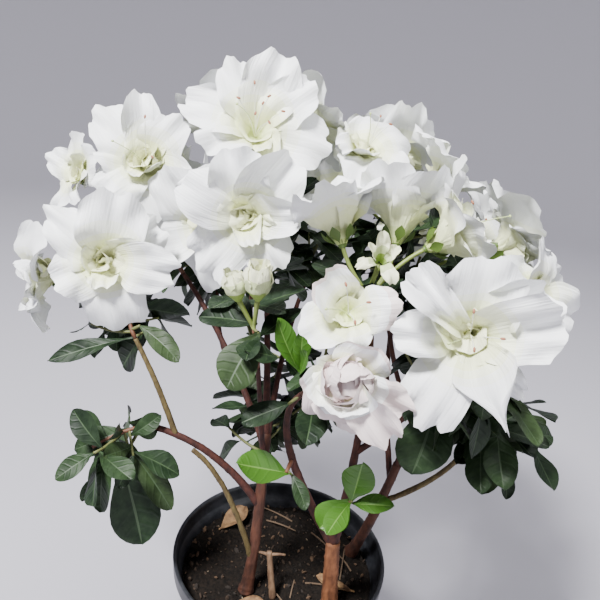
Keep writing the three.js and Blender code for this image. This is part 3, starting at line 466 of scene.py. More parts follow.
potForm = dict(
    turns=112, weld=0.001,
    profile=[(0, 0), (26, 0), (40.6, 0), (41.7, 0.35), (42, 1.2), (44.2, 15), (49.4, 50), (56.4, 84),
             (57.3, 88.2), (58.6, 89.2), (59.3, 89.9), (59.5, 91.2), (59.8, 97.4), (60, 99.0), (59.8, 99.7),
             (59.3, 100), (58.4, 99.9), (57.9, 99.2), (57.7, 97.5), (57.3, 91.8), (56.6, 90.6), (55.5, 89.4),
             (54.4, 86), (47.6, 50), (42.2, 15), (40.8, 2.2), (39.6, 1.6), (0, 1.6)],
    color=(0.012, 0.013, 0.016), rimColor=(0.05, 0.052, 0.06), roughness=0.42, mottle=160,
    drainHoles=6, drainRadius=4.0, drainCircle=31.0, drainHeight=0.8, drainDepth=6, drainSides=20,
)


def makePot():
    plastic = newMaterial("potPlastic", potForm["color"], potForm["roughness"], Specular_IOR_Level=0.45)
    addMottle(plastic, potForm["color"], potForm["rimColor"], potForm["mottle"], 0.08, low=0.4, high=0.95)
    shell = spinProfile(potForm["profile"], potForm["turns"], potForm["weld"])
    pot = finishPiece("pot_shell", shell, [plastic], ["pot"], closed=True)
    holes = bmesh.new()
    radius = potForm["drainRadius"]
    for i in range(potForm["drainHoles"]):
        place = at(360 * i / potForm["drainHoles"], potForm["drainCircle"], potForm["drainHeight"])
        bmesh.ops.create_cone(holes, cap_ends=True, segments=potForm["drainSides"], radius1=radius,
                              radius2=radius, depth=potForm["drainDepth"], matrix=Matrix.Translation(place))
    cutter = linkObject("drainCutter", meshFrom("drainCutter", holes))
    cut = pot.modifiers.new("drain", "BOOLEAN")
    cut.operation = "DIFFERENCE"
    cut.object = cutter
    cut.solver = "EXACT"
    bpy.context.view_layer.update()
    cutMesh = bpy.data.meshes.new_from_object(pot.evaluated_get(bpy.context.evaluated_depsgraph_get()))
    pot.modifiers.clear()
    pot.data = cutMesh
    bpy.data.objects.remove(cutter)


makePot()

soilForm = dict(
    turns=300, rings=64, weld=0.004, edge=54.4, sink=0.9, droop=3.0, droopFrom=44, crumb=1.1, lump=1.8,
    under=[(52.0, 74), (41.0, 3), (39.0, 2.2), (0, 2.2)],
    dark=(0.003, 0.0022, 0.0017), light=(0.014, 0.009, 0.006), mottle=620,
    chips=420, chipSize=(0.7, 2.4), chipShape=(1, 0.6, 0.35), chipReach=53, seed=5,
    chipColors=[(0.035, 0.02, 0.011), (0.075, 0.042, 0.022), (0.014, 0.009, 0.006), (0.28, 0.22, 0.15)],
    paleFrom=0.94, paleSize=0.55,
    twiglets=10, twigletColor=(0.105, 0.067, 0.04), twigletRadii=(0.5, 0.35),
)


def soilHeight(x, y):
    place = Vector((x, y, 0))
    lumps = noise.fractal(place * 0.09, 0.8, 2.0, 3) * soilForm["lump"]
    crumbs = abs(noise.noise(place * 0.55)) + 0.6 * abs(noise.noise(place * 1.2 + Vector((7, 3, 1))))
    return soilTop - soilForm["sink"] + lumps + crumbs * soilForm["crumb"] * 1.6


def makeSoil():
    edge, rings = soilForm["edge"], soilForm["rings"]
    profile = [(edge * i / rings, soilTop) for i in range(rings + 1)]
    bm = spinProfile(profile + soilForm["under"], soilForm["turns"], soilForm["weld"])
    for vert in bm.verts:
        if vert.co.z > soilTop - 1:
            drop = soilForm["droop"] * smooth(vert.co.xy.length, soilForm["droopFrom"], edge)
            vert.co.z = soilHeight(vert.co.x, vert.co.y) - drop
    peat = newMaterial("peat", soilForm["dark"], 0.92, Specular_IOR_Level=0.2)
    addMottle(peat, soilForm["dark"], soilForm["light"], soilForm["mottle"], 0.9, detail=9, low=0.38,
              high=0.72)
    finishPiece("peat_bed", bm, [peat], ["potting_mix"], closed=True)


def makeSoilBits():
    bm = bmesh.new()
    random = seeded(soilForm["seed"])
    paleFrom = soilForm["paleFrom"]
    for i in range(soilForm["chips"]):
        place = at(360 * next(random), soilForm["chipReach"] * math.sqrt(next(random)), 0)
        place.z = soilHeight(place.x, place.y) + 0.2
        kind = next(random)
        size = between(soilForm["chipSize"], next(random) ** 2)
        tone = 3 if kind > paleFrom else int(kind * 3 / paleFrom)
        size *= soilForm["paleSize"] if tone == 3 else 1.0
        turn = Quaternion((next(random) - 0.5, next(random) - 0.5, next(random) - 0.5, 0.3)).normalized()
        addBall(bm, place, turn, Vector([size * part for part in soilForm["chipShape"]]), tone)
    for i in range(soilForm["twiglets"]):
        start = at(360 * next(random), 46 * math.sqrt(next(random)), 0)
        start.z = soilHeight(start.x, start.y) + 0.6
        end = start + heading(360 * next(random), 0) * (9 + 14 * next(random))
        if end.xy.length > soilForm["chipReach"] - 1:
            end = start + (start - end)
        end.z = soilHeight(end.x, end.y) + 1.0 + 2.5 * next(random)
        middle = (start + end) / 2 + Vector((0, 0, 0.8))
        addTube(bm, Curve(start, middle, end), soilForm["twigletRadii"], 5, 4, slotIndex=4)
    chips = [newMaterial("chip" + str(i), color, 0.9) for i, color in enumerate(soilForm["chipColors"])]
    chips.append(newMaterial("dryTwiglet", soilForm["twigletColor"], 0.85))
    finishPiece("peat_bits", bm, chips, [], shade=False)


makeSoil()
makeSoilBits()

barkForm = dict(
    stemSides=30, boughSides=14, ringSpacing=1.3, ridge=0.07, knot=0.16, knotSpacing=11.0, flare=0.4,
    usual="redBark",
    limbs={"stem_right": "orangeBark", "stem_back": "brownBark", "stem_left": "brownBark",
           "bough_pruned": "oliveBark", "bough_left_rise": "oliveBark", "bough_low_right": "oliveBark"},
    rough={"bough_pruned": 1.8}, probes=13,
)
# Dark and light colour, the fineness of the mottle, and how it's drawn out along the limb.
barkLooks = dict(
    orangeBark=((0.070, 0.024, 0.010), (0.24, 0.092, 0.038), 260, 0.28),
    brownBark=((0.024, 0.009, 0.006), (0.088, 0.031, 0.017), 260, 0.28),
    redBark=((0.021, 0.007, 0.006), (0.078, 0.023, 0.015), 420, 0.4),
    oliveBark=((0.055, 0.036, 0.014), (0.135, 0.10, 0.036), 420, 0.5),
    deadWood=((0.07, 0.035, 0.02), (0.22, 0.135, 0.078), 300, 0.3),
)
curves = {}
for limb in limbs:
    limb["isStem"] = isinstance(limb["foot"], Vector)
    if limb["isStem"]:
        start = limb["foot"] + Vector((0, 0, 0.3))
    else:
        start = curves[limb["foot"][0]].point(limb["foot"][1])
    curves[limb["name"]] = Curve(start, limb["middle"], limb["tip"])
limbRadii = {limb["name"]: limb["radii"] for limb in limbs}
probeShares = [i / (barkForm["probes"] - 1) for i in range(barkForm["probes"])]
limbProbes = np.array([tuple(curve.point(share)) for curve in curves.values() for share in probeShares])
limbReach = np.array([limb["radii"][0] for limb in limbs for share in probeShares])


def barkRelief(length, strength):
    def relief(share, turn, place):
        along = share * length
        around = math.cos(turn) * 2.4, math.sin(turn) * 2.4
        ridges = noise.noise(Vector((*around, along * 0.07 + place.x * 0.02)))
        grain = noise.noise(place * 0.9)
        knots = max(0.0, math.sin(along / barkForm["knotSpacing"] * math.tau + 1.7 * math.cos(turn))) ** 8
        return strength * (barkForm["ridge"] * (ridges * 1.6 + grain) + barkForm["knot"] * 0.5 * knots)
    return relief


def makeBark(name):
    dark, light, scale, along = barkLooks[name]
    bark = newMaterial(name, light, 0.72, Specular_IOR_Level=0.35)
    return addMottle(bark, dark, light, scale, 0.5, detail=8, stretch=(1, 1, along), low=0.34, high=0.66)


barks = {name: makeBark(name) for name in barkLooks}


def makeLimb(limb):
    name = limb["name"]
    curve = curves[name]
    rings = max(12, int(curve.length / barkForm["ringSpacing"]))
    relief = barkRelief(curve.length, barkForm["rough"].get(name, 1.0))
    sides = barkForm["stemSides" if limb["isStem"] else "boughSides"]
    bm = bmesh.new()
    addTube(bm, curve, limb["radii"], sides, rings, relief, barkForm["flare"] if limb["isStem"] else 0.0)
    bark = barks[barkForm["limbs"].get(name, barkForm["usual"])]
    finishPiece(name + "_bark", bm, [bark], [name], closed=True)


# The dead stub has two short arms just below its cut top.
stubForm = dict(foot=at(-93, 24, soilTop + 0.3), tip=at(-108, 19, 115), radii=(1.9, 1.4),
                arms=(0, 180), armDrop=2.5, armLength=9, armRadii=(1.0, 0.55))


def makeStub():
    bm = bmesh.new()
    tip = stubForm["tip"]
    addTube(bm, straight(stubForm["foot"], tip), stubForm["radii"], 12, 20, barkRelief(28, 1.3))
    for azimuth in stubForm["arms"]:
        root = tip - Vector((0, 0, stubForm["armDrop"]))
        end = root + heading(azimuth, 8) * stubForm["armLength"]
        arm = Curve(root, (root + end) / 2 + Vector((0, 0, 0.5)), end)
        addTube(bm, arm, stubForm["armRadii"], 8, 8, barkRelief(stubForm["armLength"], 1.0))
    finishPiece("stub_bark", bm, [barks["deadWood"]], ["stem_stub"], closed=True)


for limb in limbs:
    makeLimb(limb)
makeStub()
print("limbs done:", len(curves))

petalForm = dict(
    tubeEnd=0.1, curl=22, lineSteps=24, cuppedLean=60, cuppedWidth=1.2, margin=1.06, over=2.5,
    columns=20, rows=15, smallColumns=8, smallRows=8, funnelColumns=24, funnelRows=8,
    white=(0.90, 0.91, 0.925), pale=(0.84, 0.875, 0.53), throat=(0.52, 0.64, 0.17), cream=(0.87, 0.885, 0.60),
    # blush is the pale pink of the front bloom and the rosette, made darker as painted shade for their place
    # low under the other blooms.
    blush=(0.78, 0.67, 0.655), tintRows=8, tintReach=0.66, seed=29,
    groove=0.014, grooveHalf=0.18, streak=0.003, streaks=11,
    front={"mass_left_front", "mass_left_back", "mass_top", "mass_centre", "mass_front", "mass_umbel"},
)


# A kind of petal. Each pair is the least and the most of a random draw; lengths are shares of the bloom's.
def petalKind(length, half, curl, cup, ruffle, fold, twist, jitter, rise):
    return dict(length=length, half=half, curl=curl, cup=cup, ruffle=ruffle, fold=fold, twist=twist,
                jitter=jitter, rise=rise)


petalKinds = dict(
    outer=petalKind((0.92, 1.06), (0.29, 0.42), (0, 80), (-0.30, 0.34), (0.03, 0.07), (0.05, 0.11),
                    (-0.14, 0.14), 0.22, 0.0),
    middle=petalKind((0.40, 0.66), (0.15, 0.25), (0, 70), (-0.1, 0.8), (0.03, 0.09), (0.06, 0.14),
                     (-0.5, 0.5), 0.7, 0.05),
    small=petalKind((0.28, 0.46), (0.09, 0.17), (-110, 130), (-0.4, 1.4), (0.02, 0.07), (0.08, 0.18),
                    (-0.9, 0.9), 0.8, 0.06),
    shell=petalKind((0.60, 0.74), (0.32, 0.40), (-140, -115), (0.1, 0.4), (0.01, 0.025), (0.02, 0.05),
                    (-0.2, 0.2), 0.4, 0.05),
    bud=petalKind((0.95, 1.10), (0.36, 0.46), (-35, -5), (-0.1, 0.3), (0.03, 0.07), (0.05, 0.10),
                  (-0.3, 0.3), 0.5, -0.05),
    frill=petalKind((0.85, 1.25), (0.22, 0.34), (-30, 110), (-0.2, 0.9), (0.06, 0.12), (0.10, 0.18),
                    (-0.6, 0.6), 0.7, 0.0),
    opening=petalKind((0.9, 1.1), (0.20, 0.26), (0, 60), (0, 0.4), (0.03, 0.05), (0.05, 0.10),
                      (-0.3, 0.3), 0.4, 0.0),
)


# How a kind leaves the throat: how far out it starts, its first lean, where it has turned outwards,
# how wide its claw is, where it is full width, and how flat it lies across.
def petalBase(start, tubeLean, limbStart, claw, wide, flat):
    return dict(start=start, tubeLean=tubeLean, limbStart=limbStart, claw=claw, wide=wide, flat=flat)


petalBases = dict(
    outer=petalBase(2.1, 9, 0.6, 0.13, 0.70, 0.9),
    cupped=petalBase(2.1, 26, 0.4, 0.36, 0.55, 0.4),
    middle=petalBase(1.8, 9, 0.6, 0.16, 0.70, 0.9),
    small=petalBase(0.9, 4, 0.5, 0.25, 0.60, 0.6),
    shell=petalBase(2.1, 14, 0.5, 0.20, 0.60, 0.35),
    bud=petalBase(1.3, 36, 0.7, 0.45, 0.45, 0.12),
    frill=petalBase(1.0, 12, 0.6, 0.30, 0.60, 0.4),
    opening=petalBase(1.4, 20, 0.4, 0.40, 0.60, 0.5),
)


def petalLine(length, lean, curl, base):
    # the petal's middle line as (out, up, tilt), from its foot to its tip
    line = [(base["start"], 0.0, math.radians(base["tubeLean"]))]
    steps = petalForm["lineSteps"]
    step = length / steps
    for i in range(1, steps + 1):
        share = (i - 0.5) / steps
        tilt = base["tubeLean"]
        tilt += (lean - tilt) * smooth(share, petalForm["tubeEnd"], base["limbStart"])
        tilt += curl * max(0.0, share - base["limbStart"]) / (1 - base["limbStart"])
        tilt = math.radians(tilt)
        r, z, _ = line[-1]
        line.append((r + step * math.sin(tilt), z + step * math.cos(tilt), tilt))
    return line


def onLine(line, share):
    spot = min(max(share, 0.0), 0.9999) * petalForm["lineSteps"]
    low = int(spot)
    return blend(line[low], line[low + 1], spot - low)


def shapePetal(petal, size, lean):
    petal["length"] = petal["full"] * size
    petal["half"] = petal["fullHalf"] * size
    petal["line"] = petalLine(petal["length"] * petalForm["margin"], lean, petal["curl"], petal)


def petalLift(petal, share, side):
    # how far a point of the petal stands off its plain curve, towards the inside of the bloom
    length, half, phase = petal["length"], petal["half"], petal["phase"]
    opened = smooth(share, 0.12, 0.6)
    margin = smooth(max(abs(side), (share - 0.4) / 0.6), 0.3, 1.0) * opened
    around = math.atan2(0.9 * side, 1.6 * (share - 0.4))
    ruffle, waves = petal["ruffle"], petal["waves"]
    lift = petal["cup"] * half * side * side * opened
    lift += petal["roll"] * half * side * opened
    lift += ruffle * length * margin * math.sin(waves * around + phase)
    lift += 0.28 * ruffle * length * margin ** 2 * math.sin(2.7 * waves * around + 2 * phase)
    lift += petal["fold"] * length * opened * noise.noise(Vector((1.5 * side, 2.4 * share, phase * 3)))
    lift -= petalForm["groove"] * length * math.exp(-(side / petalForm["grooveHalf"]) ** 2) * opened
    lift += petalForm["streak"] * length * math.sin(petalForm["streaks"] * side) * smooth(share, 0.15, 0.5)
    return lift


def petalSpot(bloom, petal, share, side):
    # share runs along the petal, side from -1 to 1 across it
    length, phase = petal["length"], petal["phase"]
    rounding = 1 - math.sqrt(1 - (0.95 * (side + petal["skew"] * (1 - side * side))) ** 2)
    reach = share * (1 - petal["blunt"] * rounding * smooth(share, 0.2, 1.0))
    scallop = 0.018 * math.sin(7.5 * side + phase) + 0.012 * math.sin(16 * side + 3 * phase)
    reach *= 1 + smooth(share, 0.7, 1.0) * (scallop - petal["notch"] * math.exp(-(side / 0.2) ** 2))
    r, z, tilt = onLine(petal["line"], reach / petalForm["margin"])
    widen = petal["claw"] + (1 - petal["claw"]) * smooth(share, 0.06, petal["wide"])
    half = petal["half"] * widen * (1 + 0.045 * math.sin(10 * share + phase))
    half *= 1 - petal["taper"] * smooth(share, petal.get("taperFrom", 0.7), 1.0)
    wrap = r + petal["flat"] * length * share * share
    angle = half * side / wrap
    outward = r + wrap * (math.cos(angle) - 1)
    sideways = wrap * math.sin(angle)
    lift = petalLift(petal, share, side)
    outward -= math.cos(tilt) * lift
    z += math.sin(tilt) * lift + petal["lift"]
    turn = math.radians(petal["turn"]) + petal["twist"] * share
    spot = bloom["root"] + bloom["axis"] * z
    spot += bloom["right"] * (outward * math.cos(turn) - sideways * math.sin(turn))
    return spot + bloom["up"] * (outward * math.sin(turn) + sideways * math.cos(turn))


for mass in masses:
    marks = [mass["head"]] + [bloom["face"] for bloom in mass["blooms"]]
    mass["site"] = sum(marks, Vector()) / len(marks)
    for bloom in mass["blooms"]:
        bloom["axis"] = heading(bloom["azimuth"], bloom["rise"])
        bloom["right"], bloom["up"] = sidesOf(bloom["axis"])
        bloom["root"] = bloom["face"] - bloom["axis"] * (0.3 * bloom["length"])
        line = petalLine(bloom["length"], bloom["lean"], petalForm["curl"], petalBases["outer"])
        bloom["reach"] = line[-1][0]


def nearer(point, mark, otherMark, margin):
    apart = (mark - otherMark).normalized()
    return (point - (mark + otherMark) / 2).dot(apart) > margin


def inSpace(point, mass, margin=0.5):
    return all(other is mass or nearer(point, mass["site"], other["site"], margin) for other in masses)


def petalFits(bloom, petal, mass):
    # over is how far a petal may reach into its neighbours' space
    over = bloom.get("over", petalForm["over"])
    for share, side in ((1, 0), (0.9, -1), (0.9, 1), (0.7, -1), (0.7, 1)):
        spot = petalSpot(bloom, petal, share, side)
        if not inSpace(spot, mass, -over):
            return False
        for other in mass["blooms"]:
            if other is not bloom and not nearer(spot, bloom["face"], other["face"], -over):
                return False
    return True


# A petal that would reach its neighbour's space stands up, and then draws back: its size and how much
# steeper it stands.
petalStances = ((1, 0), (0.97, 8), (0.92, 14), (0.86, 18), (0.79, 21), (0.72, 23), (0.64, 25), (0.56, 26))


def fitPetal(bloom, petal, mass):
    for size, raised in petalStances:
        shapePetal(petal, size, max(12, petal["lean"] - raised))
        if petalFits(bloom, petal, mass):
            break


def makeWhorl(bloom, mass, random, kindName, count, leans, turn, fits=False):
    # petals of one kind around the bloom, each leaning between the two values of leans
    kind = petalKinds[kindName]
    plan = bloom.get("plan") if kindName in ("outer", "opening") else None
    cupped = kindName == "outer" and bloom["lean"] < petalForm["cuppedLean"]
    length = bloom["length"] * bloom.get("size", 1)

    def draw(pair):
        return between(pair, next(random))

    petals = []
    for i in range(len(plan) if plan else count):
        odd = i % 2
        petal = dict(
            petalBases["cupped" if cupped else kindName], kind=kindName,
            full=length * draw(kind["length"]), fullHalf=length * draw(kind["half"]),
            lean=draw(leans), curl=draw(kind["curl"]), cup=draw(kind["cup"]), ruffle=draw(kind["ruffle"]),
            fold=draw(kind["fold"]), twist=draw(kind["twist"]),
            turn=turn + 360 / count * (i + kind["jitter"] * (next(random) - 0.5)), phase=6.28 * next(random),
            waves=5 + 4 * next(random), roll=0.10 + 0.16 * next(random), blunt=0.30 + 0.16 * next(random),
            notch=0.06 * next(random) ** 2, taper=0.10 * next(random), skew=0.4 * (next(random) - 0.5),
            lift=kind["rise"] * length + (0.9 if odd else 0.0),
        )
        if kindName == "outer":
            petal["lean"] += 7 if odd else -5
        if plan:
            petal["twist"] = 0.0
            petal.update(plan[i])
            petal["turn"] = plan[i]["around"] + 180
            petal["full"] = length * plan[i]["length"]
            petal["fullHalf"] = length * plan[i]["half"]
        if cupped:
            petal["fullHalf"] *= petalForm["cuppedWidth"]
        if fits:
            fitPetal(bloom, petal, mass)
        else:
            shapePetal(petal, 1, petal["lean"])
        petals.append(petal)
    return petals


def addPetal(bm, bloom, petal):
    small = petal["kind"] == "small"
    spots, faces = addGrid(bm, petalForm["smallColumns" if small else "columns"],
                           petalForm["smallRows" if small else "rows"])
    tints = petalForm["tintRows"]
    # Blooms marked blush take the pink colour that holds painted shade on their limbs.
    whole = tints + 1 if bloom.get("blush") else tints
    veins = bm.loops.layers.uv.verify()
    for face in faces:
        share = (face.calc_center_median().y + 1) / 2
        tint = int(share * petal["length"] / (petalForm["tintReach"] * bloom["length"]) * tints)
        if small:
            tint = tints + 2 if share > 0.3 else 3
        elif petal["kind"] == "shell" or tint >= tints:
            tint = whole
        face.material_index = tint
        for loop in face.loops:
            loop[veins].uv = (loop.vert.co.x / 2 + petal["phase"], loop.vert.co.y / 2)
    for vert, side, share in spots:
        side *= 1.4 - 0.4 * side * side  # closer columns at the edges
        vert.co = petalSpot(bloom, petal, share, side)


# The funnel is the petals' grown-together foot: the shares of the petal where it starts and ends.
funnelForm = dict(cupped=(0.02, 0.42), outer=(0.15, 0.36), inside=0.92, ribs=5, rib=0.04, lift=0.3,
                  closed=0.1)


def addFunnel(bm, bloom):
    base = "cupped" if bloom["lean"] < petalForm["cuppedLean"] else "outer"
    line = petalLine(bloom["length"], bloom["lean"], 0, petalBases[base])
    spots, faces = addGrid(bm, petalForm["funnelColumns"], petalForm["funnelRows"])
    for face in faces:
        foot, mouth = funnelForm[base]
        share = foot + (mouth - foot) * (face.calc_center_median().y + 1) / 2
        face.material_index = int(share / petalForm["tintReach"] * petalForm["tintRows"])
    for vert, side, share in spots:
        r, z, _ = onLine(line, between(funnelForm[base], share))
        turn = math.pi * side
        r *= funnelForm["inside"] + funnelForm["rib"] * math.cos(funnelForm["ribs"] * turn) * share
        if share < 0.01:
            r = funnelForm["closed"]
        aside = bloom["right"] * math.cos(turn) + bloom["up"] * math.sin(turn)
        vert.co = bloom["root"] + bloom["axis"] * (z + funnelForm["lift"]) + aside * r


def petalMaterial(name, color):
    # fine veins that run along the petal
    material = newMaterial(name, color, 0.46, Specular_IOR_Level=0.3, Sheen_Weight=0.1, Sheen_Roughness=0.5,
                           Subsurface_Weight=0.07, Subsurface_Radius=(0.004, 0.004, 0.0035),
                           Subsurface_Scale=0.5)
    coords = addNode(material, "ShaderNodeTexCoord", {})
    mapping = addNode(material, "ShaderNodeMapping", {"Vector": coords.outputs["UV"]}, Scale=(26, 2.2, 1))
    streaks = addNode(material, "ShaderNodeTexNoise", {"Vector": mapping.outputs["Vector"]}, Scale=1.0,
                      Detail=3.0, Roughness=0.55)
    addBump(material, streaks.outputs["Fac"], 0.6, 0.0008)
    return material


def petalTint(share):
    # green at the throat, pale yellow-green up the tube, white on the limb
    if share < 0.35:
        return blend(petalForm["throat"], petalForm["pale"], share / 0.35)
    return blend(petalForm["pale"], petalForm["white"], smooth(share, 0.45, 1.0))


petalTints = [petalMaterial("petalTint" + str(i), petalTint((i + 0.5) / petalForm["tintRows"]))
              for i in range(petalForm["tintRows"])]
petalTints += [petalMaterial("petal" + name, petalForm[name.lower()]) for name in ("White", "Blush", "Cream")]
# The rosette's inner whorls: kind, count, leans and turn.
rosetteWhorls = [("shell", 5, (50, 58), 20), ("shell", 5, (30, 38), 50), ("shell", 4, (-10, 0), 10)]


def makePetals():
    random = seeded(petalForm["seed"])
    groups = {name: bmesh.new() for name in ("petals_left", "petals_right", "inner_petals")}
    nodes = {name: [] for name in groups}
    for mass in masses:
        group = "petals_left" if mass["name"] in petalForm["front"] else "petals_right"
        if mass["blooms"]:
            nodes[group].append(mass["name"])
        for bloom in mass["blooms"]:
            lean = bloom["lean"]
            pairs = bloom["inner"] // 2
            whorls = [("middle", pairs + 1, (0.3 * lean, 0.8 * lean), 30), ("small", pairs + 2, (10, 34), 70),
                      ("small", 3, (-12, 8), 10)]
            turn = bloom["turn"]
            outer = makeWhorl(bloom, mass, random, "outer", bloom["petals"], (lean - 4, lean + 4), turn, True)
            inner = []
            for kindName, count, leans, ahead in rosetteWhorls if bloom.get("rosette") else whorls:
                inner += makeWhorl(bloom, mass, random, kindName, count, leans, turn + ahead)
            addFunnel(groups["inner_petals"], bloom)
            for petal in outer:
                addPetal(groups[group], bloom, petal)
            for petal in inner[:bloom.get("innerKept")]:
                addPetal(groups["inner_petals"], bloom, petal)
    for name, bm in groups.items():
        finishPiece(name, bm, petalTints, nodes[name])


makePetals()

stamenForm = dict(
    usual=3, length=(0.42, 0.66), styleLength=0.7, radii=(0.22, 0.176), spread=15, wide=0.6, long=1.2,
    styleTip=0.72, filament=(0.84, 0.85, 0.76), anthers=(0.34, 0.14, 0.08), style=(0.52, 0.62, 0.24), seed=43,
)


def makeStamens():
    bm = bmesh.new()
    random = seeded(stamenForm["seed"])
    for bloom in [bloom for mass in masses for bloom in mass["blooms"]]:
        count = bloom.get("stamens", stamenForm["usual"])
        for i in range(count):
            isStyle = i == 0
            draws = [next(random) for _ in range(3)]
            share = stamenForm["styleLength"] if isStyle else between(stamenForm["length"], draws[0])
            reach = bloom["length"] * share * bloom.get("stamenReach", 1)
            turn = math.radians(360 * i / count + 40 * draws[1])
            lean = math.tan(math.radians(stamenForm["spread"] * (0.5 + draws[2])))
            aside = bloom["right"] * math.cos(turn) + bloom["up"] * math.sin(turn)
            foot = bloom["root"] + bloom["axis"] * 4
            end = foot + bloom["axis"] * reach + aside * (reach * lean) + Vector((0, 0, 2.0))
            middle = (foot + end) / 2 - aside * (0.08 * reach)
            addTube(bm, Curve(foot, middle, end), stamenForm["radii"], 4, 6, slotIndex=2 if isStyle else 0)
            wide = stamenForm["wide"]
            size = Vector((wide, wide, stamenForm["styleTip" if isStyle else "long"]))
            addBall(bm, end, aside.to_track_quat("Z", "Y"), size, 2 if isStyle else 1)
    finishPiece("stamens", bm, [newMaterial("filament", stamenForm["filament"], 0.5),
                                newMaterial("anther", stamenForm["anthers"], 0.7),
                                newMaterial("style", stamenForm["style"], 0.45)], [], closed=True)


makeStamens()

leafForm = dict(length=27.0, width=13.5, droop=0.14, fold=0.16)
youngForm = dict(droop=-0.05, fold=0.22)
# Twigs: where along the stem they start and over how much of it, their turn and tilt, and their length.
twigForm = dict(first=0.2, span=0.6, turn=0, tilt=48, moreTilt=26, length=0.7, radii=(1.0, 0.7),
                probes=(0.4, 0.7, 1))
fineForm = dict(first=0.12, span=0.8, turn=60, tilt=58, moreTilt=40, length=0.5, radii=(0.8, 0.55),
                probes=(0.5, 0.8, 1), leaves=7, scale=0.86, usual=5,
                counts={"mass_bud": 0, "mass_front": 2, "mass_left_low": 1, "mass_umbel": 3,
                        "mass_low_back": 10, "mass_low_right": 7})
foliageForm = dict(
    twigLength=26.0, footRadii=(0.8, 0.7), thickFrom=1.05,
    leafSpacing=3.0, bearings=4, leafSink=0.9, clear=1.2, columns=6, rows=10, rib=0.05, wave=0.04,
    stalkHalf=0.4, bend=0.22, seed=211,
    tones=[(0.010, 0.025, 0.009), (0.015, 0.034, 0.011), (0.008, 0.019, 0.008), (0.022, 0.042, 0.012)],
    ribTone=(0.032, 0.060, 0.022), young=(0.046, 0.125, 0.013), youngRib=(0.11, 0.22, 0.04),
    twigOlive=(0.12, 0.13, 0.04), twigRed=(0.13, 0.05, 0.025),
)
leafProbes = [(0.36, -1), (0.7, -1), (1, 0), (0.7, 1), (0.36, 1), (0.3, 0), (0.5, 0), (0.75, 0)]


def leafOutline(share):
    past = max(0.0, (min(share, 0.9999) - 0.08) / 0.92)
    return max(0.0, math.sin(math.pi * past ** 1.4)) ** 0.58


def leafSpot(leaf, share, side):
    form, length = leaf["form"], leaf["length"]
    half = leaf["width"] / 2 * leafOutline(share) ** form.get("point", 1)
    half += leaf.get("stalkHalf", 0) * (1 - share) ** 2
    lift = form["fold"] * half * abs(side) - form["droop"] * length * share * share
    spot = leaf["base"] + leaf["direction"] * (length * share) + leaf["left"] * (half * side)
    return spot + leaf["normal"] * lift


def makeLeaf(base, direction, up, length, width, form, young=False):
    normal = (up - direction * up.dot(direction)).normalized()
    return dict(base=base, direction=direction, normal=normal, left=normal.cross(direction), length=length,
                width=width, form=form, young=young)


def hidesBloom(point):
    for bloom in [bloom for mass in masses for bloom in mass["blooms"]]:
        offset = point - bloom["root"]
        ahead = offset.dot(bloom["axis"])
        if 0.12 * bloom["length"] < ahead < 1.6 * bloom["length"]:
            aside = math.sqrt(max(0.0, offset.length_squared - ahead * ahead))
            if aside < 0.96 * bloom["reach"]:
                return True
    return False


def touchesLimb(point):
    apart = np.linalg.norm(limbProbes - np.array(tuple(point)), axis=1)
    return bool(np.any(apart < limbReach + foliageForm["clear"]))


def leaning(axis, turn, tilt):
    # a direction tilted away from the axis, turned around it
    first, second = sidesOf(axis)
    direction = axis * math.cos(tilt) + first * (math.cos(turn) * math.sin(tilt))
    return direction + second * (math.sin(turn) * math.sin(tilt))


def growWhorl(shoot, count, random, free, scale=1.0):
    # leaves around the shoot's tip; each takes the first bearing at which it's free
    axis = shoot.tangent(1)
    spacing = foliageForm["leafSpacing"] * scale / shoot.length
    leaves = []
    for i in range(count):
        length = leafForm["length"] * scale * (0.72 + 0.5 * next(random))
        roll = math.radians(50 * (next(random) - 0.5))
        spread = 16 * next(random)
        for attempt in range(foliageForm["bearings"]):
            turn = math.radians(goldenAngle * i + 40 + 55 * attempt)
            tilt = math.radians(44 + 9 * i + 14 * attempt + spread)
            direction = leaning(axis, turn, tilt)
            direction.z -= 0.12
            direction.normalize()
            up = Quaternion(direction, roll) @ (axis * 0.5 + Vector((0, 0, 0.6)))
            leaf = makeLeaf(shoot.point(0.98 - spacing * i), direction, up, length,
                            leafForm["width"] * (length / leafForm["length"]), leafForm)
            if all(free(leafSpot(leaf, share, side)) for share, side in leafProbes):
                leaves.append(leaf)
                break
    return leaves


def closestShare(curve, point):
    return min((i / 20 for i in range(21)), key=lambda share: (curve.point(share) - point).length)


def growTwig(stem, number, count, random, form):
    turn = math.radians(goldenAngle * number + form["turn"] + 90 * next(random))
    tilt = math.radians(form["tilt"] + form["moreTilt"] * next(random))
    length = foliageForm["twigLength"] * (form["length"] + 0.5 * next(random))
    share = form["first"] + form["span"] * (number + 0.5) / count
    root = stem.point(share)
    direction = leaning(stem.tangent(share), turn, tilt)
    tip = root + direction * length + Vector((0, 0, 0.15 * length))
    return Curve(root, root + direction * (length * 0.5), tip)


